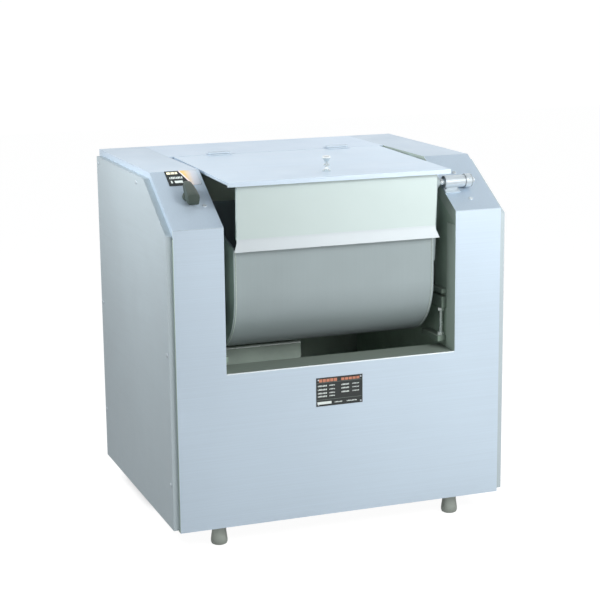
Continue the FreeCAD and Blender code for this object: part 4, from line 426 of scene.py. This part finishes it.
along_x = (4.0, 260.0, 520.0)
panel_steel = brushed_material("panel_steel", (0.62, 0.735, 0.845), along_x, metal=0.55, roughness=0.42,
                               folds=((0, -1, 0), 0.1, 0.5))
dress(panel_steel, "front_panel", bevel=0.0008)
along_y = (520.0, 4.0, 260.0)
# The side covers take a darker copy of the stainless: painted shade on the sides away from the lamps.
cover_steel_painted_darker = brushed_material("cover_steel_painted_darker", (0.52, 0.60, 0.64), along_y, metal=0.55, roughness=0.44)
dress(cover_steel_painted_darker, "left_side_cover", "right_side_cover", bevel=0.0022)
top_steel = brushed_material("top_steel", (0.61, 0.72, 0.83), along_y, metal=0.6, roughness=0.40)
dress(top_steel, "left_box_top", bevel=0.0016)
# The right box top and the rear deck take lighter copies of the stainless: painted light where the lamps fall.
right_top_steel_painted_lighter = brushed_material("right_top_steel_painted_lighter", (0.63, 0.745, 0.86), along_y, metal=0.75, roughness=0.39,
                                   folds=((1, 0, 0), -0.9, -0.6), painted_light_tone=(0.48, 0.57, 0.51))
dress(right_top_steel_painted_lighter, "right_box_top", bevel=0.0016)
deck_steel_painted_lighter = brushed_material("deck_steel_painted_lighter", (0.67, 0.79, 0.92), along_x, metal=0.6, roughness=0.40)
dress(deck_steel_painted_lighter, "rear_deck", bevel=0.0012)
# The rear cover's turned-away tone is lighter than the others: painted light inside the dark bay.
rear_steel = brushed_material("rear_steel", (0.60, 0.70, 0.80), along_x, metal=0.55, roughness=0.42, folds=((0, 1, 0), 0.1, 0.5),
                              painted_light_tone=(0.66, 0.78, 0.69))
dress(rear_steel, "rear_cover", bevel=0.0012)




def lay_round(name, points, radius, material, body, ripple=0.0, closed=False):
    """A round bead along a line of points, with a slight ripple if it is a weld."""
    line = bpy.data.curves.new(name, "CURVE")
    line.dimensions = "3D"
    line.bevel_depth = radius
    line.bevel_resolution = 3
    line.use_fill_caps = True
    run = line.splines.new("POLY")
    run.points.add(len(points) - 1)
    for number, point in enumerate(points):
        run.points[number].co = (*point, 1)
        run.points[number].radius = 1.0 + ripple * math.sin(number * 2.4)
    run.use_cyclic_u = closed
    line.materials.append(material)
    bead = bpy.data.objects.new(name, line)
    bpy.context.scene.collection.objects.link(bead)
    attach(bead, body)
    return bead


# A rounded bead on the sill's front fold, paler and less metallic than the panel: a painted highlight along the fold.
fold_painted_highlight = brushed_material("fold_painted_highlight", (0.86, 0.93, 0.98), along_x, metal=0.3, roughness=0.34)
lay_round("sill_fold_painted_highlight", [(-0.3000 + 0.0200 * step, -0.3512, 0.4397) for step in range(31)], 0.0017, fold_painted_highlight,
          "housing")


# Cover screws: plated pan heads with a cross recess, about M6, along the edges of the covers
# and three on the slopes. Each is a domed head with a real cross sunk into it.

zinc = skin_material("zinc", (0.60, 0.66, 0.70), 0.6, 0.34, cloud=0.08, grain=700, dust=0.0, depth=0.0001)
dress(zinc, "foot_studs", bevel=0.0006)


def new_piece(name, mesh, material, body, *stands_for, slot=None, smooth=True):
    """Put a finished mesh in the scene, on a body, in place of CAD nodes if any are named."""
    piece = bpy.data.objects.new(name, mesh)
    bpy.context.scene.collection.objects.link(piece)
    if not mesh.materials:
        mesh.materials.append(material)
    if smooth:
        for face in mesh.polygons:
            face.use_smooth = True
        mesh.set_sharp_from_angle(angle=math.radians(32))
    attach(piece, body)
    if stands_for:
        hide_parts(*stands_for)
    return piece


def turn_profile(form, profile, steps, place):
    """Add a turned shape to a bmesh: profile pairs are radius and height along local Z."""
    rings = []
    for radius, height in profile:
        if radius < 1e-7:
            rings.append([form.verts.new(place @ Vector((0, 0, height)))])
            continue
        rings.append([form.verts.new(place @ Vector((
            radius * math.cos(2 * math.pi * step / steps), radius * math.sin(2 * math.pi * step / steps), height)))
            for step in range(steps)])
    for low, high in zip(rings, rings[1:]):
        for step in range(steps):
            after = (step + 1) % steps
            corners = [low[step % len(low)], low[after % len(low)], high[after % len(high)], high[step % len(high)]]
            unique = list(dict.fromkeys(corners))
            if len(unique) > 2:
                form.faces.new(unique)


def mesh_from(form, name):
    bmesh.ops.recalc_face_normals(form, faces=form.faces[:])
    mesh = bpy.data.meshes.new(name)
    form.to_mesh(mesh)
    form.free()
    return mesh


def seat(point, outward, twist=0.0):
    """The matrix that stands a local Z axis on a point."""
    turn = Vector(outward).normalized().to_track_quat("Z", "Y").to_matrix().to_4x4()
    return Matrix.Translation(Vector(point)) @ turn @ Matrix.Rotation(twist, 4, "Z")


def cross_head(form, place, radius, height):
    """A domed head whose top is divided so that a cross-shaped recess can sink into it."""
    arm = radius * 0.16
    reach = radius * 0.62
    turn_profile(form, [(radius, 0), (radius, height * 0.35), (radius * 0.9, height * 0.72),
                        (radius * 0.72, height * 0.95)], 24, place)
    rim = [place @ Vector((radius * 0.72 * math.cos(math.tau * step / 24),
                           radius * 0.72 * math.sin(math.tau * step / 24), height * 0.95)) for step in range(24)]
    outer = [form.verts.new(point) for point in rim]
    outline = [(reach, -arm), (reach, arm), (arm, arm), (arm, reach), (-arm, reach), (-arm, arm), (-reach, arm),
               (-reach, -arm), (-arm, -arm), (-arm, -reach), (arm, -reach), (arm, -arm)]
    upper = [form.verts.new(place @ Vector((x, y, height))) for x, y in outline]
    lower = [form.verts.new(place @ Vector((x * 0.85, y * 0.85, height * 0.35))) for x, y in outline]
    for number in range(12):
        after = (number + 1) % 12
        form.faces.new([upper[number], upper[after], lower[after], lower[number]])
        near = [outer[(2 * number + 23) % 24], outer[2 * number], outer[(2 * number + 1) % 24]]
        form.faces.new([upper[number], *near, upper[after]])
    form.faces.new(lower)


body_side, screw_radius, screw_rise = 0.440, 0.0055, 0.0022
grade = (855 - 741) / 192
slant = math.atan(grade)
slope_out = Vector((0, -math.sin(slant), math.cos(slant)))


def on_slope(x, along, out=0.0):
    """A point on the front slopes: across, up the slope and outward."""
    return Vector((x, -0.3525 + along * math.cos(slant), 0.797 + along * math.sin(slant))) + slope_out * out


cover_top = 0.911 - 0.016 + 0.001
screw_form = bmesh.new()
for y, z in ((-0.0875, cover_top - 0.017), (0.3055, cover_top - 0.017), (0.3055, 0.500), (0.3055, 0.198),
             (-0.3305, 0.175), (-0.3305, 0.496)):
    for side in (-1, 1):
        cross_head(screw_form, seat((side * body_side, y, z), (side, 0, 0), y + z), screw_radius, screw_rise)
for x in (-0.387, 0.387):
    for z in (0.116, 0.486, 0.867):
        cross_head(screw_form, seat((x, 0.3525, z), (0, 1, 0), x + 3 * z), screw_radius, screw_rise)
for x, along in ((-0.324, 0.085), (0.357, 0.150), (0.360, 0.045)):
    cross_head(screw_form, seat(on_slope(x, along), slope_out, along * 9), screw_radius, screw_rise)
new_piece("cover_screw_heads", mesh_from(screw_form, "cover_screw_heads"), zinc, "housing", "cover_screws",
          slot="zinc_steel")

foot_form = bmesh.new()
for x in (-0.313, 0.313):
    for y in (-0.3025, 0.2905):
        turn_profile(foot_form, [(0, 0), (0.0160, 0), (0.0192, 0.0020), (0.0207, 0.0065), (0.0208, 0.0120),
                                 (0.0198, 0.0200), (0.0183, 0.0300), (0.0174, 0.0400), (0.0172, 0.0474),
                                 (0.0166, 0.0480), (0, 0.0480)], 36, seat((x, y, 0), (0, 0, 1)))
new_piece("levelling_feet", mesh_from(foot_form, "levelling_feet"), foot_nylon, "housing", "feet",
          slot="foot_plastic")


# Trough: a rolled U of stainless sheet between two end plates, welded all round, with turned
# trunnions. It is dull and slightly blotched all over.

trough_steel = brushed_material("trough_steel", (0.37, 0.435, 0.45), (260.0, 4.0, 4.0), metal=0.5, roughness=0.50,
                                contrast=0.025, smudge=0.12, depth=0.0001)
dress(trough_steel, "trough_shell", "trough_left_end", "trough_right_end", "trough_latch", bevel=0.0005)
turned_steel = brushed_material("turned_steel", (0.42, 0.43, 0.44), (900.0, 20.0, 20.0), metal=0.9, roughness=0.30,
                                contrast=0.06)
dress(turned_steel, "trunnions", bevel=0.0005)
seal_white = skin_material("seal_white", (0.62, 0.60, 0.55), 0.0, 0.5, grain=500, dust=0.0)
dress(seal_white, "shaft_seals")

weld_look = skin_material("weld", (0.56, 0.63, 0.58), 0.5, 0.4, cloud=0.2, grain=260, dust=0.0, depth=0.0006)


axis_y, axis_z = -0.1555, 0.616
seam_x, seam_radius = 0.258, 0.1503
for side, label in ((-1, "left"), (1, "right")):
    path = [(side * seam_x, axis_y - seam_radius, axis_z + 0.116 - 0.004 * step) for step in range(30)]
    path += [(side * seam_x, axis_y - seam_radius * math.cos(turn), axis_z - seam_radius * math.sin(turn))
             for turn in (math.pi * step / 120 for step in range(121))]
    path += [(side * seam_x, axis_y + seam_radius, axis_z + 0.004 * step) for step in range(48)]
    lay_round(f"trough_weld_{label}", path, 0.0010, weld_look, "trough", ripple=0.18)


# Trunnion housings, flange bearings and their through-bolts: rough iron castings with machined
# faces, bolted through the side plates with hexagon-headed bolts.

cast_iron = skin_material("cast_iron", (0.16, 0.175, 0.165), 0.5, 0.5, cloud=0.14, grain=420, dust=0.15, depth=0.0006)
dress(cast_iron, "trunnion_housings", "shaft_bearings", "countershaft_housing", bevel=0.0012)
bronze = skin_material("bronze", (0.42, 0.27, 0.10), 0.85, 0.35, cloud=0.08, grain=600, dust=0.0, depth=0.0001)
dress(bronze, "trunnion_bushes")


def hexagon(form, place, across, height):
    """A hexagon head or nut with a turned chamfer on its outer face."""
    corner = across / math.sqrt(3)
    rings = []
    for radius, level in ((corner, 0), (corner, height * 0.82), (corner * 0.87, height)):
        rings.append([form.verts.new(place @ Vector((
            radius * math.cos(math.tau * step / 6), radius * math.sin(math.tau * step / 6), level)))
            for step in range(6)])
    for low, high in zip(rings, rings[1:]):
        for step in range(6):
            form.faces.new([low[step], low[(step + 1) % 6], high[(step + 1) % 6], high[step]])
    form.faces.new(rings[-1])
    form.faces.new(rings[0])


bolt_form = bmesh.new()
reach = 0.066 * math.sqrt(0.5)
for side in (-1, 1):
    for up in (-1, 1):
        for along in (-1, 1):
            y, z = axis_y + along * reach, axis_z + up * reach
            inner = seat((side * 0.291, y, z), (-side, 0, 0), y * 40)
            hexagon(bolt_form, inner, 0.0138, 0.0068)
            nut = seat((side * 0.327, y, z), (side, 0, 0), z * 50)
            hexagon(bolt_form, nut, 0.0138, 0.0068)
            turn_profile(bolt_form, [(0, 0), (0.005, 0), (0.005, 0.0090), (0.0042, 0.0098), (0, 0.0098)], 16, nut)
            turn_profile(bolt_form, [(0, 0.0), (0.005, 0.0), (0.005, 0.036), (0, 0.036)], 16,
                         seat((side * 0.291, y, z), (side, 0, 0)))
new_piece("bearing_bolt_set", mesh_from(bolt_form, "bearing_bolt_set"), zinc, "housing", "bearing_bolts",
          slot="zinc_steel")


# Supports beside the trunnions: a base, a bracket and a cap of flat bar on each side plate, with
# a bright jack bolt and its two hexagon nuts between base and bracket, set from below.

def bar_block(form, low, high):
    """A block between two corners."""
    corners = [form.verts.new((x, y, z)) for x in (low[0], high[0]) for y in (low[1], high[1])
               for z in (low[2], high[2])]
    for face in ((0, 1, 3, 2), (4, 5, 7, 6), (0, 1, 5, 4), (2, 3, 7, 6), (0, 2, 6, 4), (1, 3, 7, 5)):
        form.faces.new([corners[corner] for corner in face])


support_steel = skin_material("support_steel", (0.24, 0.31, 0.26), 0.2, 0.5, cloud=0.18, grain=160, dust=0.25)
support_form = bmesh.new()
jack_form = bmesh.new()
jack_y, jack_low, jack_high = -0.2855, 0.470, 0.541
for side in (-1, 1):
    for inner, rear, low, high in ((0.279, -0.1995, 0.456, 0.470), (0.289, -0.2295, 0.541, 0.571),
                                   (0.289, -0.2295, 0.579, 0.591)):
        near, far = sorted((side * inner, side * 0.303))
        bar_block(support_form, (near, -0.2995, low), (far, rear, high))
    foot = seat((side * 0.294, jack_y, jack_low), (0, 0, 1), 0.3)
    hexagon(jack_form, foot, 0.0165, 0.0080)
    hexagon(jack_form, seat((side * 0.294, jack_y, jack_high), (0, 0, -1), 0.8), 0.0165, 0.0080)
    thread = [(0.0, 0.0)]
    for turn in range(44):
        thread += [(0.0050, 0.0016 * turn + 0.0002), (0.0044, 0.0016 * turn + 0.0010)]
    thread.append((0.0, jack_high - jack_low))
    turn_profile(jack_form, thread, 20, foot)
supports = new_piece("trunnion_support_blocks", mesh_from(support_form, "trunnion_support_blocks"), support_steel,
                     "housing", "trunnion_supports", slot="frame_paint", smooth=False)
soften(supports, 0.0012)
bright_bolt = skin_material("bright_bolt", (0.74, 0.80, 0.78), 0.7, 0.25, cloud=0.06, grain=500, dust=0.0, depth=0.0001)
new_piece("jack_bolts", mesh_from(jack_form, "jack_bolts"), bright_bolt, "housing", slot="zinc_steel")

shield_steel = skin_material("shield_steel", (0.23, 0.28, 0.25), 0.0, 0.42, cloud=0.12, grain=200, dust=0.1)
dress(shield_steel, "motor_shield", bevel=0.0008)
# A bright bead along the shield's top front edge, in the jack bolts' bright steel: a painted highlight on that edge.
lay_round("shield_hem_painted_highlight", [(-0.3015 + 0.0136 * step, -0.1290, 0.4462) for step in range(21)], 0.0018, bright_bolt,
          "housing")


# Mixing shaft and paddles: a ground steel shaft with five clamped arms, whose pitched blades
# push the dough along. Cast stainless, polished by use.

paddle_steel = skin_material("paddle_steel", (0.45, 0.46, 0.46), 0.85, 0.30, cloud=0.10, grain=240, dust=0.05)
dress(paddle_steel, "paddles", bevel=0.0015)
dress(turned_steel, "mixing_shaft", "countershaft", "countershaft_bearings", "motor_shaft", bevel=0.0004)


# Drive: spur gears, a countershaft with a large pulley, two V-belts and the motor.
# Machined grey iron with an oily sheen, black rubber belts, and a painted motor.

gear_iron = skin_material("gear_iron", (0.13, 0.13, 0.13), 0.75, 0.36, cloud=0.14, grain=420, dust=0.0, depth=0.0002)
dress(gear_iron, "drive_gear", "pinion", "large_pulley", "motor_pulley")
belt_rubber = skin_material("belt_rubber", (0.022, 0.022, 0.022), 0.0, 0.62, cloud=0.2, grain=900, dust=0.1)
dress(belt_rubber, "v_belts")
motor_paint = skin_material("motor_paint", (0.24, 0.31, 0.27), 0.0, 0.42, cloud=0.06, grain=500, dust=0.25, coat=0.1)
dress(motor_paint, "motor_body", "motor_fan_cover", "motor_terminal_box", bevel=0.0015)

motor_y, motor_z, motor_radius = 0.0475, 0.204, 0.092
fin_form = bmesh.new()
for number in range(20):
    turn = math.radians(-36 + 252 * number / 19)
    outward = Vector((0, math.cos(turn), math.sin(turn)))
    if outward.z > 0.80:
        continue
    sideways = Vector((0, -math.sin(turn), math.cos(turn)))
    corners = []
    for x in (-0.264, -0.036):
        for depth, half in ((-0.002, 0.0026), (0.006, 0.0016)):
            for sign in (-1, 1):
                point = outward * (motor_radius + depth) + sideways * (half * sign)
                corners.append(fin_form.verts.new((x, motor_y + point.y, motor_z + point.z)))
    for face in ((0, 1, 3, 2), (4, 5, 7, 6), (0, 2, 6, 4), (1, 3, 7, 5), (2, 3, 7, 6), (0, 1, 5, 4)):
        fin_form.faces.new([corners[corner] for corner in face])
fins = new_piece("motor_fins", mesh_from(fin_form, "motor_fins"), motor_paint, "housing", slot="motor_paint",
                 smooth=False)
soften(fins, 0.0006)


# Lid: a folded stainless plate with a painted apron hung under its front edge. The apron's
# lower edge carries a flared strip that sheds flour clear of the trough's rim.

# The lid's copy of the stainless is lighter too: painted light.
lid_steel_painted_lighter = brushed_material("lid_steel_painted_lighter", (0.67, 0.79, 0.91), along_x, metal=0.55, roughness=0.40, smudge=0.05)
dress(lid_steel_painted_lighter, "lid_plate", bevel=0.0016)
dress(lid_steel_painted_lighter, "lid_rests", bevel=0.0004)
apron_paint = skin_material("apron_paint", (0.435, 0.510, 0.505), 0.0, 0.34, cloud=0.012, grain=420, dust=0.0,
                            depth=0.00008, coat=0.15)
dress(apron_paint, "lid_apron", bevel=0.001)
lip_paint = skin_material("lip_paint", (0.43, 0.475, 0.50), 0.0, 0.36, cloud=0.015, grain=420, dust=0.0,
                          depth=0.00008, coat=0.15)
lip_profile = [(-0.3222, 0.7600, 0.2600), (-0.3224, 0.7555, 0.2600), (-0.3232, 0.7520, 0.2602),
               (-0.3246, 0.7470, 0.2618), (-0.3262, 0.7410, 0.2642), (-0.3277, 0.7350, 0.2665),
               (-0.3286, 0.7310, 0.2680), (-0.3289, 0.7300, 0.2680)]
lip_sheet = 0.0015
lip_form = bmesh.new()
lip_layers = []
for depth in (0.0, lip_sheet):
    lip_layers.append([[lip_form.verts.new((half * (step / 12 - 1), y + depth, z)) for step in range(25)]
                       for y, z, half in lip_profile])
for layer in lip_layers:
    for upper, lower in zip(layer, layer[1:]):
        for step in range(24):
            lip_form.faces.new([upper[step], upper[step + 1], lower[step + 1], lower[step]])
front_sheet, rear_sheet = lip_layers
for row in (0, -1):
    for step in range(24):
        lip_form.faces.new([front_sheet[row][step], front_sheet[row][step + 1], rear_sheet[row][step + 1],
                            rear_sheet[row][step]])
for end in (0, -1):
    for row in range(len(lip_profile) - 1):
        lip_form.faces.new([front_sheet[row][end], front_sheet[row + 1][end], rear_sheet[row + 1][end],
                            rear_sheet[row][end]])
new_piece("apron_flared_lip", mesh_from(lip_form, "apron_flared_lip"), lip_paint, "lid", "apron_lip",
          slot="apron_paint")


# Hinges: two plated butt hinges across the seam between lid and rear deck, each with
# three knuckles on a steel pin.

hinge_steel = brushed_material("hinge_steel", (0.62, 0.71, 0.79), (40.0, 600.0, 40.0), metal=0.6, roughness=0.42)
dress(hinge_steel, "hinge_deck_leaves", "hinge_lid_leaves", bevel=0.0004)


# Bright fittings: the lid's knob and the lock bolt are turned and chromed.

chrome = skin_material("chrome", (0.80, 0.86, 0.88), 0.9, 0.17, cloud=0.03, grain=300, dust=0.0, depth=0.00003)
dress(chrome, "lid_knob", "lock_pin", bevel=0.0006)
satin_chrome = skin_material("satin_chrome", (0.58, 0.645, 0.69), 0.6, 0.28, cloud=0.03, grain=300, dust=0.0,
                             depth=0.00003)
dress(satin_chrome, "lock_bracket", "lock_housing", "lock_knob", bevel=0.0006)
# Thin dark rings at the lock barrel's collar and end stand for the shade in its grooves: painted shade.
groove_painted_shade = skin_material("groove_painted_shade", (0.05, 0.06, 0.06), 0.0, 0.5, cloud=0.05, grain=300, dust=0.0, depth=0.00003)
groove_form = bmesh.new()
for x, radius in ((0.3552, 0.0158), (0.3722, 0.0168)):
    turn_profile(groove_form, [(0.0140, 0), (radius, 0), (radius, 0.0014), (0.0140, 0.0014), (0.0140, 0)], 48,
                 seat((x, -0.28112, 0.86090), (1, 0, 0)))
new_piece("lock_grooves", mesh_from(groove_form, "lock_grooves"), groove_painted_shade, "lock_bolt", slot="bright_chrome")


# Rotary switch: a black moulded handle on a dial, over a printed label that carries only plain
# bars. The handle is wider toward the front, crowned on top and cut off slanting at its end.

black_plastic = skin_material("black_plastic", (0.030, 0.036, 0.034), 0.0, 0.36, cloud=0.08, grain=900, dust=0.08,
                              depth=0.00008)
dress(black_plastic, "switch_body", "cable_gland", bevel=0.0006)
handle_plastic = skin_material("handle_plastic", (0.036, 0.050, 0.043), 0.0, 0.42, cloud=0.08, grain=900, dust=0.1,
                               depth=0.00008)
switch_x, switch_along = -0.353, 0.117
handle_form = bmesh.new()
dial = seat(on_slope(switch_x, switch_along), slope_out)
turn_profile(handle_form, [(0, -0.0010), (0.0060, -0.0010), (0.0060, 0.0006), (0.0172, 0.0006), (0.0178, 0.0020),
                           (0.0170, 0.0078), (0.0150, 0.0090), (0, 0.0090)], 40, dial)
handle_rings = []
for along, half, top in ((-0.0368, 0.0096, 0.0145), (-0.0360, 0.0128, 0.0160), (-0.0268, 0.0160, 0.0292),
                         (-0.0258, 0.0161, 0.0300), (-0.0245, 0.0161, 0.0306),
                         (-0.0120, 0.0154, 0.0310), (0.0020, 0.0136, 0.0308), (0.0160, 0.0121, 0.0298),
                         (0.0280, 0.0105, 0.0280), (0.0335, 0.0088, 0.0262), (0.0360, 0.0060, 0.0235)):
    rise = top - 0.0086
    section = [(-0.92, 0.0), (-1.0, 0.25), (-0.98, 0.62), (-0.88, 0.85), (-0.62, 0.96), (-0.3, 0.995), (0.3, 0.995),
               (0.62, 0.96), (0.88, 0.85), (0.98, 0.62), (1.0, 0.25), (0.92, 0.0)]
    handle_rings.append([handle_form.verts.new(
        on_slope(switch_x + across * half, switch_along + along, 0.0086 + level * rise)) for across, level in section])
for low, high in zip(handle_rings, handle_rings[1:]):
    for step in range(12):
        after = (step + 1) % 12
        handle_form.faces.new([low[step], low[after], high[after], high[step]])
handle_form.faces.new(handle_rings[0])
handle_form.faces.new(handle_rings[-1])
new_piece("switch_handle_grip", mesh_from(handle_form, "switch_handle_grip"), handle_plastic, "switch_handle",
          "switch_knob", slot="black_plastic")


# Printed plates: a thin black plate beside the switch and another on the front panel. Their
# marks are plain bars, raised by the ink's own thickness.

label_black = skin_material("label_black", (0.022, 0.026, 0.026), 0.0, 0.32, cloud=0.05, grain=300, dust=0.0,
                            depth=0.00004, coat=0.3)
dress(label_black, "name_plate", bevel=0.0003)
dress(zinc, "name_plate_rivets", bevel=0.0003)
ink_white = skin_material("ink_white", (0.62, 0.68, 0.66), 0.0, 0.5, cloud=0.03, grain=300, dust=0.0, depth=0.00002)
ink_red = skin_material("ink_red", (0.46, 0.19, 0.12), 0.0, 0.5, cloud=0.04, grain=300, dust=0.0, depth=0.00002)
ink_cream = skin_material("ink_cream", (0.86, 0.80, 0.58), 0.0, 0.5, cloud=0.04, grain=300, dust=0.0, depth=0.00002)
ink_grey = skin_material("ink_grey", (0.16, 0.20, 0.18), 0.0, 0.5, cloud=0.04, grain=300, dust=0.0, depth=0.00002)


def print_bars(name, bars, place, material, body="housing", ink=0.00012):
    """Flat inked bars: each is (low x, high x, low y, high y) on a plane given by a matrix."""
    form = bmesh.new()
    for low_x, high_x, low_y, high_y in bars:
        corners = []
        for level in (0.0, ink):
            for x, y in ((low_x, low_y), (high_x, low_y), (high_x, high_y), (low_x, high_y)):
                corners.append(form.verts.new(place @ Vector((x, y, level))))
        for face in ((0, 1, 2, 3), (4, 5, 6, 7), (0, 1, 5, 4), (1, 2, 6, 5), (2, 3, 7, 6), (3, 0, 4, 7)):
            form.faces.new([corners[corner] for corner in face])
    return new_piece(name, mesh_from(form, name), material, body, slot="label", smooth=False)


def word_ticks(start, stop, level, height, pitch=0.0030):
    """A run of small upright ticks that stands for a printed word."""
    ticks = []
    for number in range(int((stop - start) / pitch)):
        low = start + number * pitch
        ticks.append((low, low + pitch * (0.78 if number % 3 else 0.6), level,
                      level + height * (1.0 if number % 4 else 0.8)))
    return ticks


name_face = Matrix(((1, 0, 0, -0.072), (0, 0, -1, -0.3535), (0, 1, 0, 0.408), (0, 0, 0, 1)))
header = []
for number in range(5):
    header += [(0.0070 + 0.0098 * number, 0.0152 + 0.0098 * number, -0.0110, -0.0034),
               (0.0655 + 0.0100 * number, 0.0738 + 0.0100 * number, -0.0106, -0.0044)]
print_bars("name_plate_header", header, name_face, ink_red)
print_bars("name_plate_lines", [(0.002, 0.120, -0.0129, -0.0122), (0.002, 0.120, -0.0560, -0.0553)], name_face,
           ink_grey)
rows = [(0.0025, 0.0395, -0.0672, -0.0605)]
for level in (0.0205, 0.0300, 0.0390, 0.0470):
    rows += word_ticks(0.004, 0.030, -level - 0.0018, 0.0036) + word_ticks(0.034, 0.049, -level - 0.0014, 0.0028)
for level in (0.0216, 0.0304, 0.0400):
    rows += word_ticks(0.066, 0.090, -level - 0.0018, 0.0036) + word_ticks(0.095, 0.1145, -level - 0.0012, 0.0024)
rows += word_ticks(0.048, 0.072, -0.0655, 0.0026) + word_ticks(0.080, 0.108, -0.0655, 0.0026)
print_bars("name_plate_rows", rows, name_face, ink_white)

label_low, label_high, label_left, label_right = 0.166, 0.2225, -0.389, -0.308
label_width, label_depth, label_rise = label_right - label_left, label_high - label_low, 0.0008


def on_label(across, down, out=label_rise):
    """A point on the switch's label: 0 to 1 across, 0 to 1 down from its upper edge."""
    return on_slope(label_left + across * label_width, label_high - down * label_depth, out)


label_steel, tree, shader = start_material("label_film")
shader.inputs["Roughness"].default_value = 0.35
shader.inputs["Metallic"].default_value = 0.1
spot = add(tree, "ShaderNodeTexCoord")
print_axes = add(tree, "ShaderNodeSeparateXYZ")
wire(tree, spot.outputs["Object"], print_axes.inputs[0])
fade = spread(tree, print_axes.outputs["X"], 0.0, 1.0, label_left + 0.42 * label_width, label_right)
film = add(tree, "ShaderNodeValToRGB")
film.color_ramp.elements[0].position = 0.0
film.color_ramp.elements[0].color = (0.72, 0.50, 0.17, 1)
film.color_ramp.elements[1].position = 1.0
film.color_ramp.elements[1].color = (0.42, 0.48, 0.54, 1)
for position, tint in ((0.30, (0.70, 0.52, 0.24, 1)), (0.50, (0.62, 0.54, 0.46, 1)), (0.66, (0.52, 0.53, 0.57, 1))):
    stop = film.color_ramp.elements.new(position)
    stop.color = tint
blur = scaled_noise(tree, None, 60, 3)
shifted = sum_of(tree, "ADD", fade, spread(tree, blur, -0.06, 0.06))
wire(tree, shifted, film.inputs[0])
wire(tree, film.outputs["Color"], shader.inputs["Base Color"])
ink_pink = skin_material("ink_pink", (0.80, 0.68, 0.70), 0.0, 0.5, cloud=0.05, grain=300, dust=0.0, depth=0.00002)


def label_sheet(name, outline, low, high, material, replaced=()):
    """A flat printed area on the switch's label, given by its outline."""
    form = bmesh.new()
    under = [form.verts.new(on_label(across, down, low)) for across, down in outline]
    over = [form.verts.new(on_label(across, down, high)) for across, down in outline]
    form.faces.new(under)
    form.faces.new(over)
    for number in range(len(outline)):
        after = (number + 1) % len(outline)
        form.faces.new([under[number], under[after], over[after], over[number]])
    return new_piece(name, mesh_from(form, name), material, "housing", *replaced, slot="label", smooth=False)


label_sheet("switch_label_dark", [(0, 0), (0.42, 0), (0.70, 1), (0, 1)], 0.0, label_rise, label_black,
            ("switch_plate",))
label_sheet("switch_label_film", [(0.42, 0), (1, 0), (1, 1), (0.70, 1)], 0.0, label_rise, label_steel)
label_sheet("switch_label_stripe", [(0.42, 0), (0.46, 0), (0.74, 1), (0.70, 1)], label_rise, label_rise + 0.0001,
            ink_pink)
label_face = Matrix.Translation(on_label(0, 1)) @ Matrix.Rotation(slant, 4, "X")
upper_row = [(label_width * low, label_width * high, label_depth * 0.78, label_depth * 0.92)
             for low, high in ((0.05, 0.16), (0.18, 0.29), (0.31, 0.38))]
print_bars("switch_label_heading", upper_row, label_face, ink_cream)
lower_rows = word_ticks(label_width * 0.08, label_width * 0.50, label_depth * 0.46, label_depth * 0.14, 0.0042)
lower_rows += [(label_width * 0.20, label_width * 0.45, label_depth * 0.17, label_depth * 0.33),
               (label_width * 0.09, label_width * 0.13, label_depth * 0.17, label_depth * 0.33)]
print_bars("switch_label_rows", lower_rows, label_face, ink_white)

# Bounds of the scene's visible objects, without the floor

low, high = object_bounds()
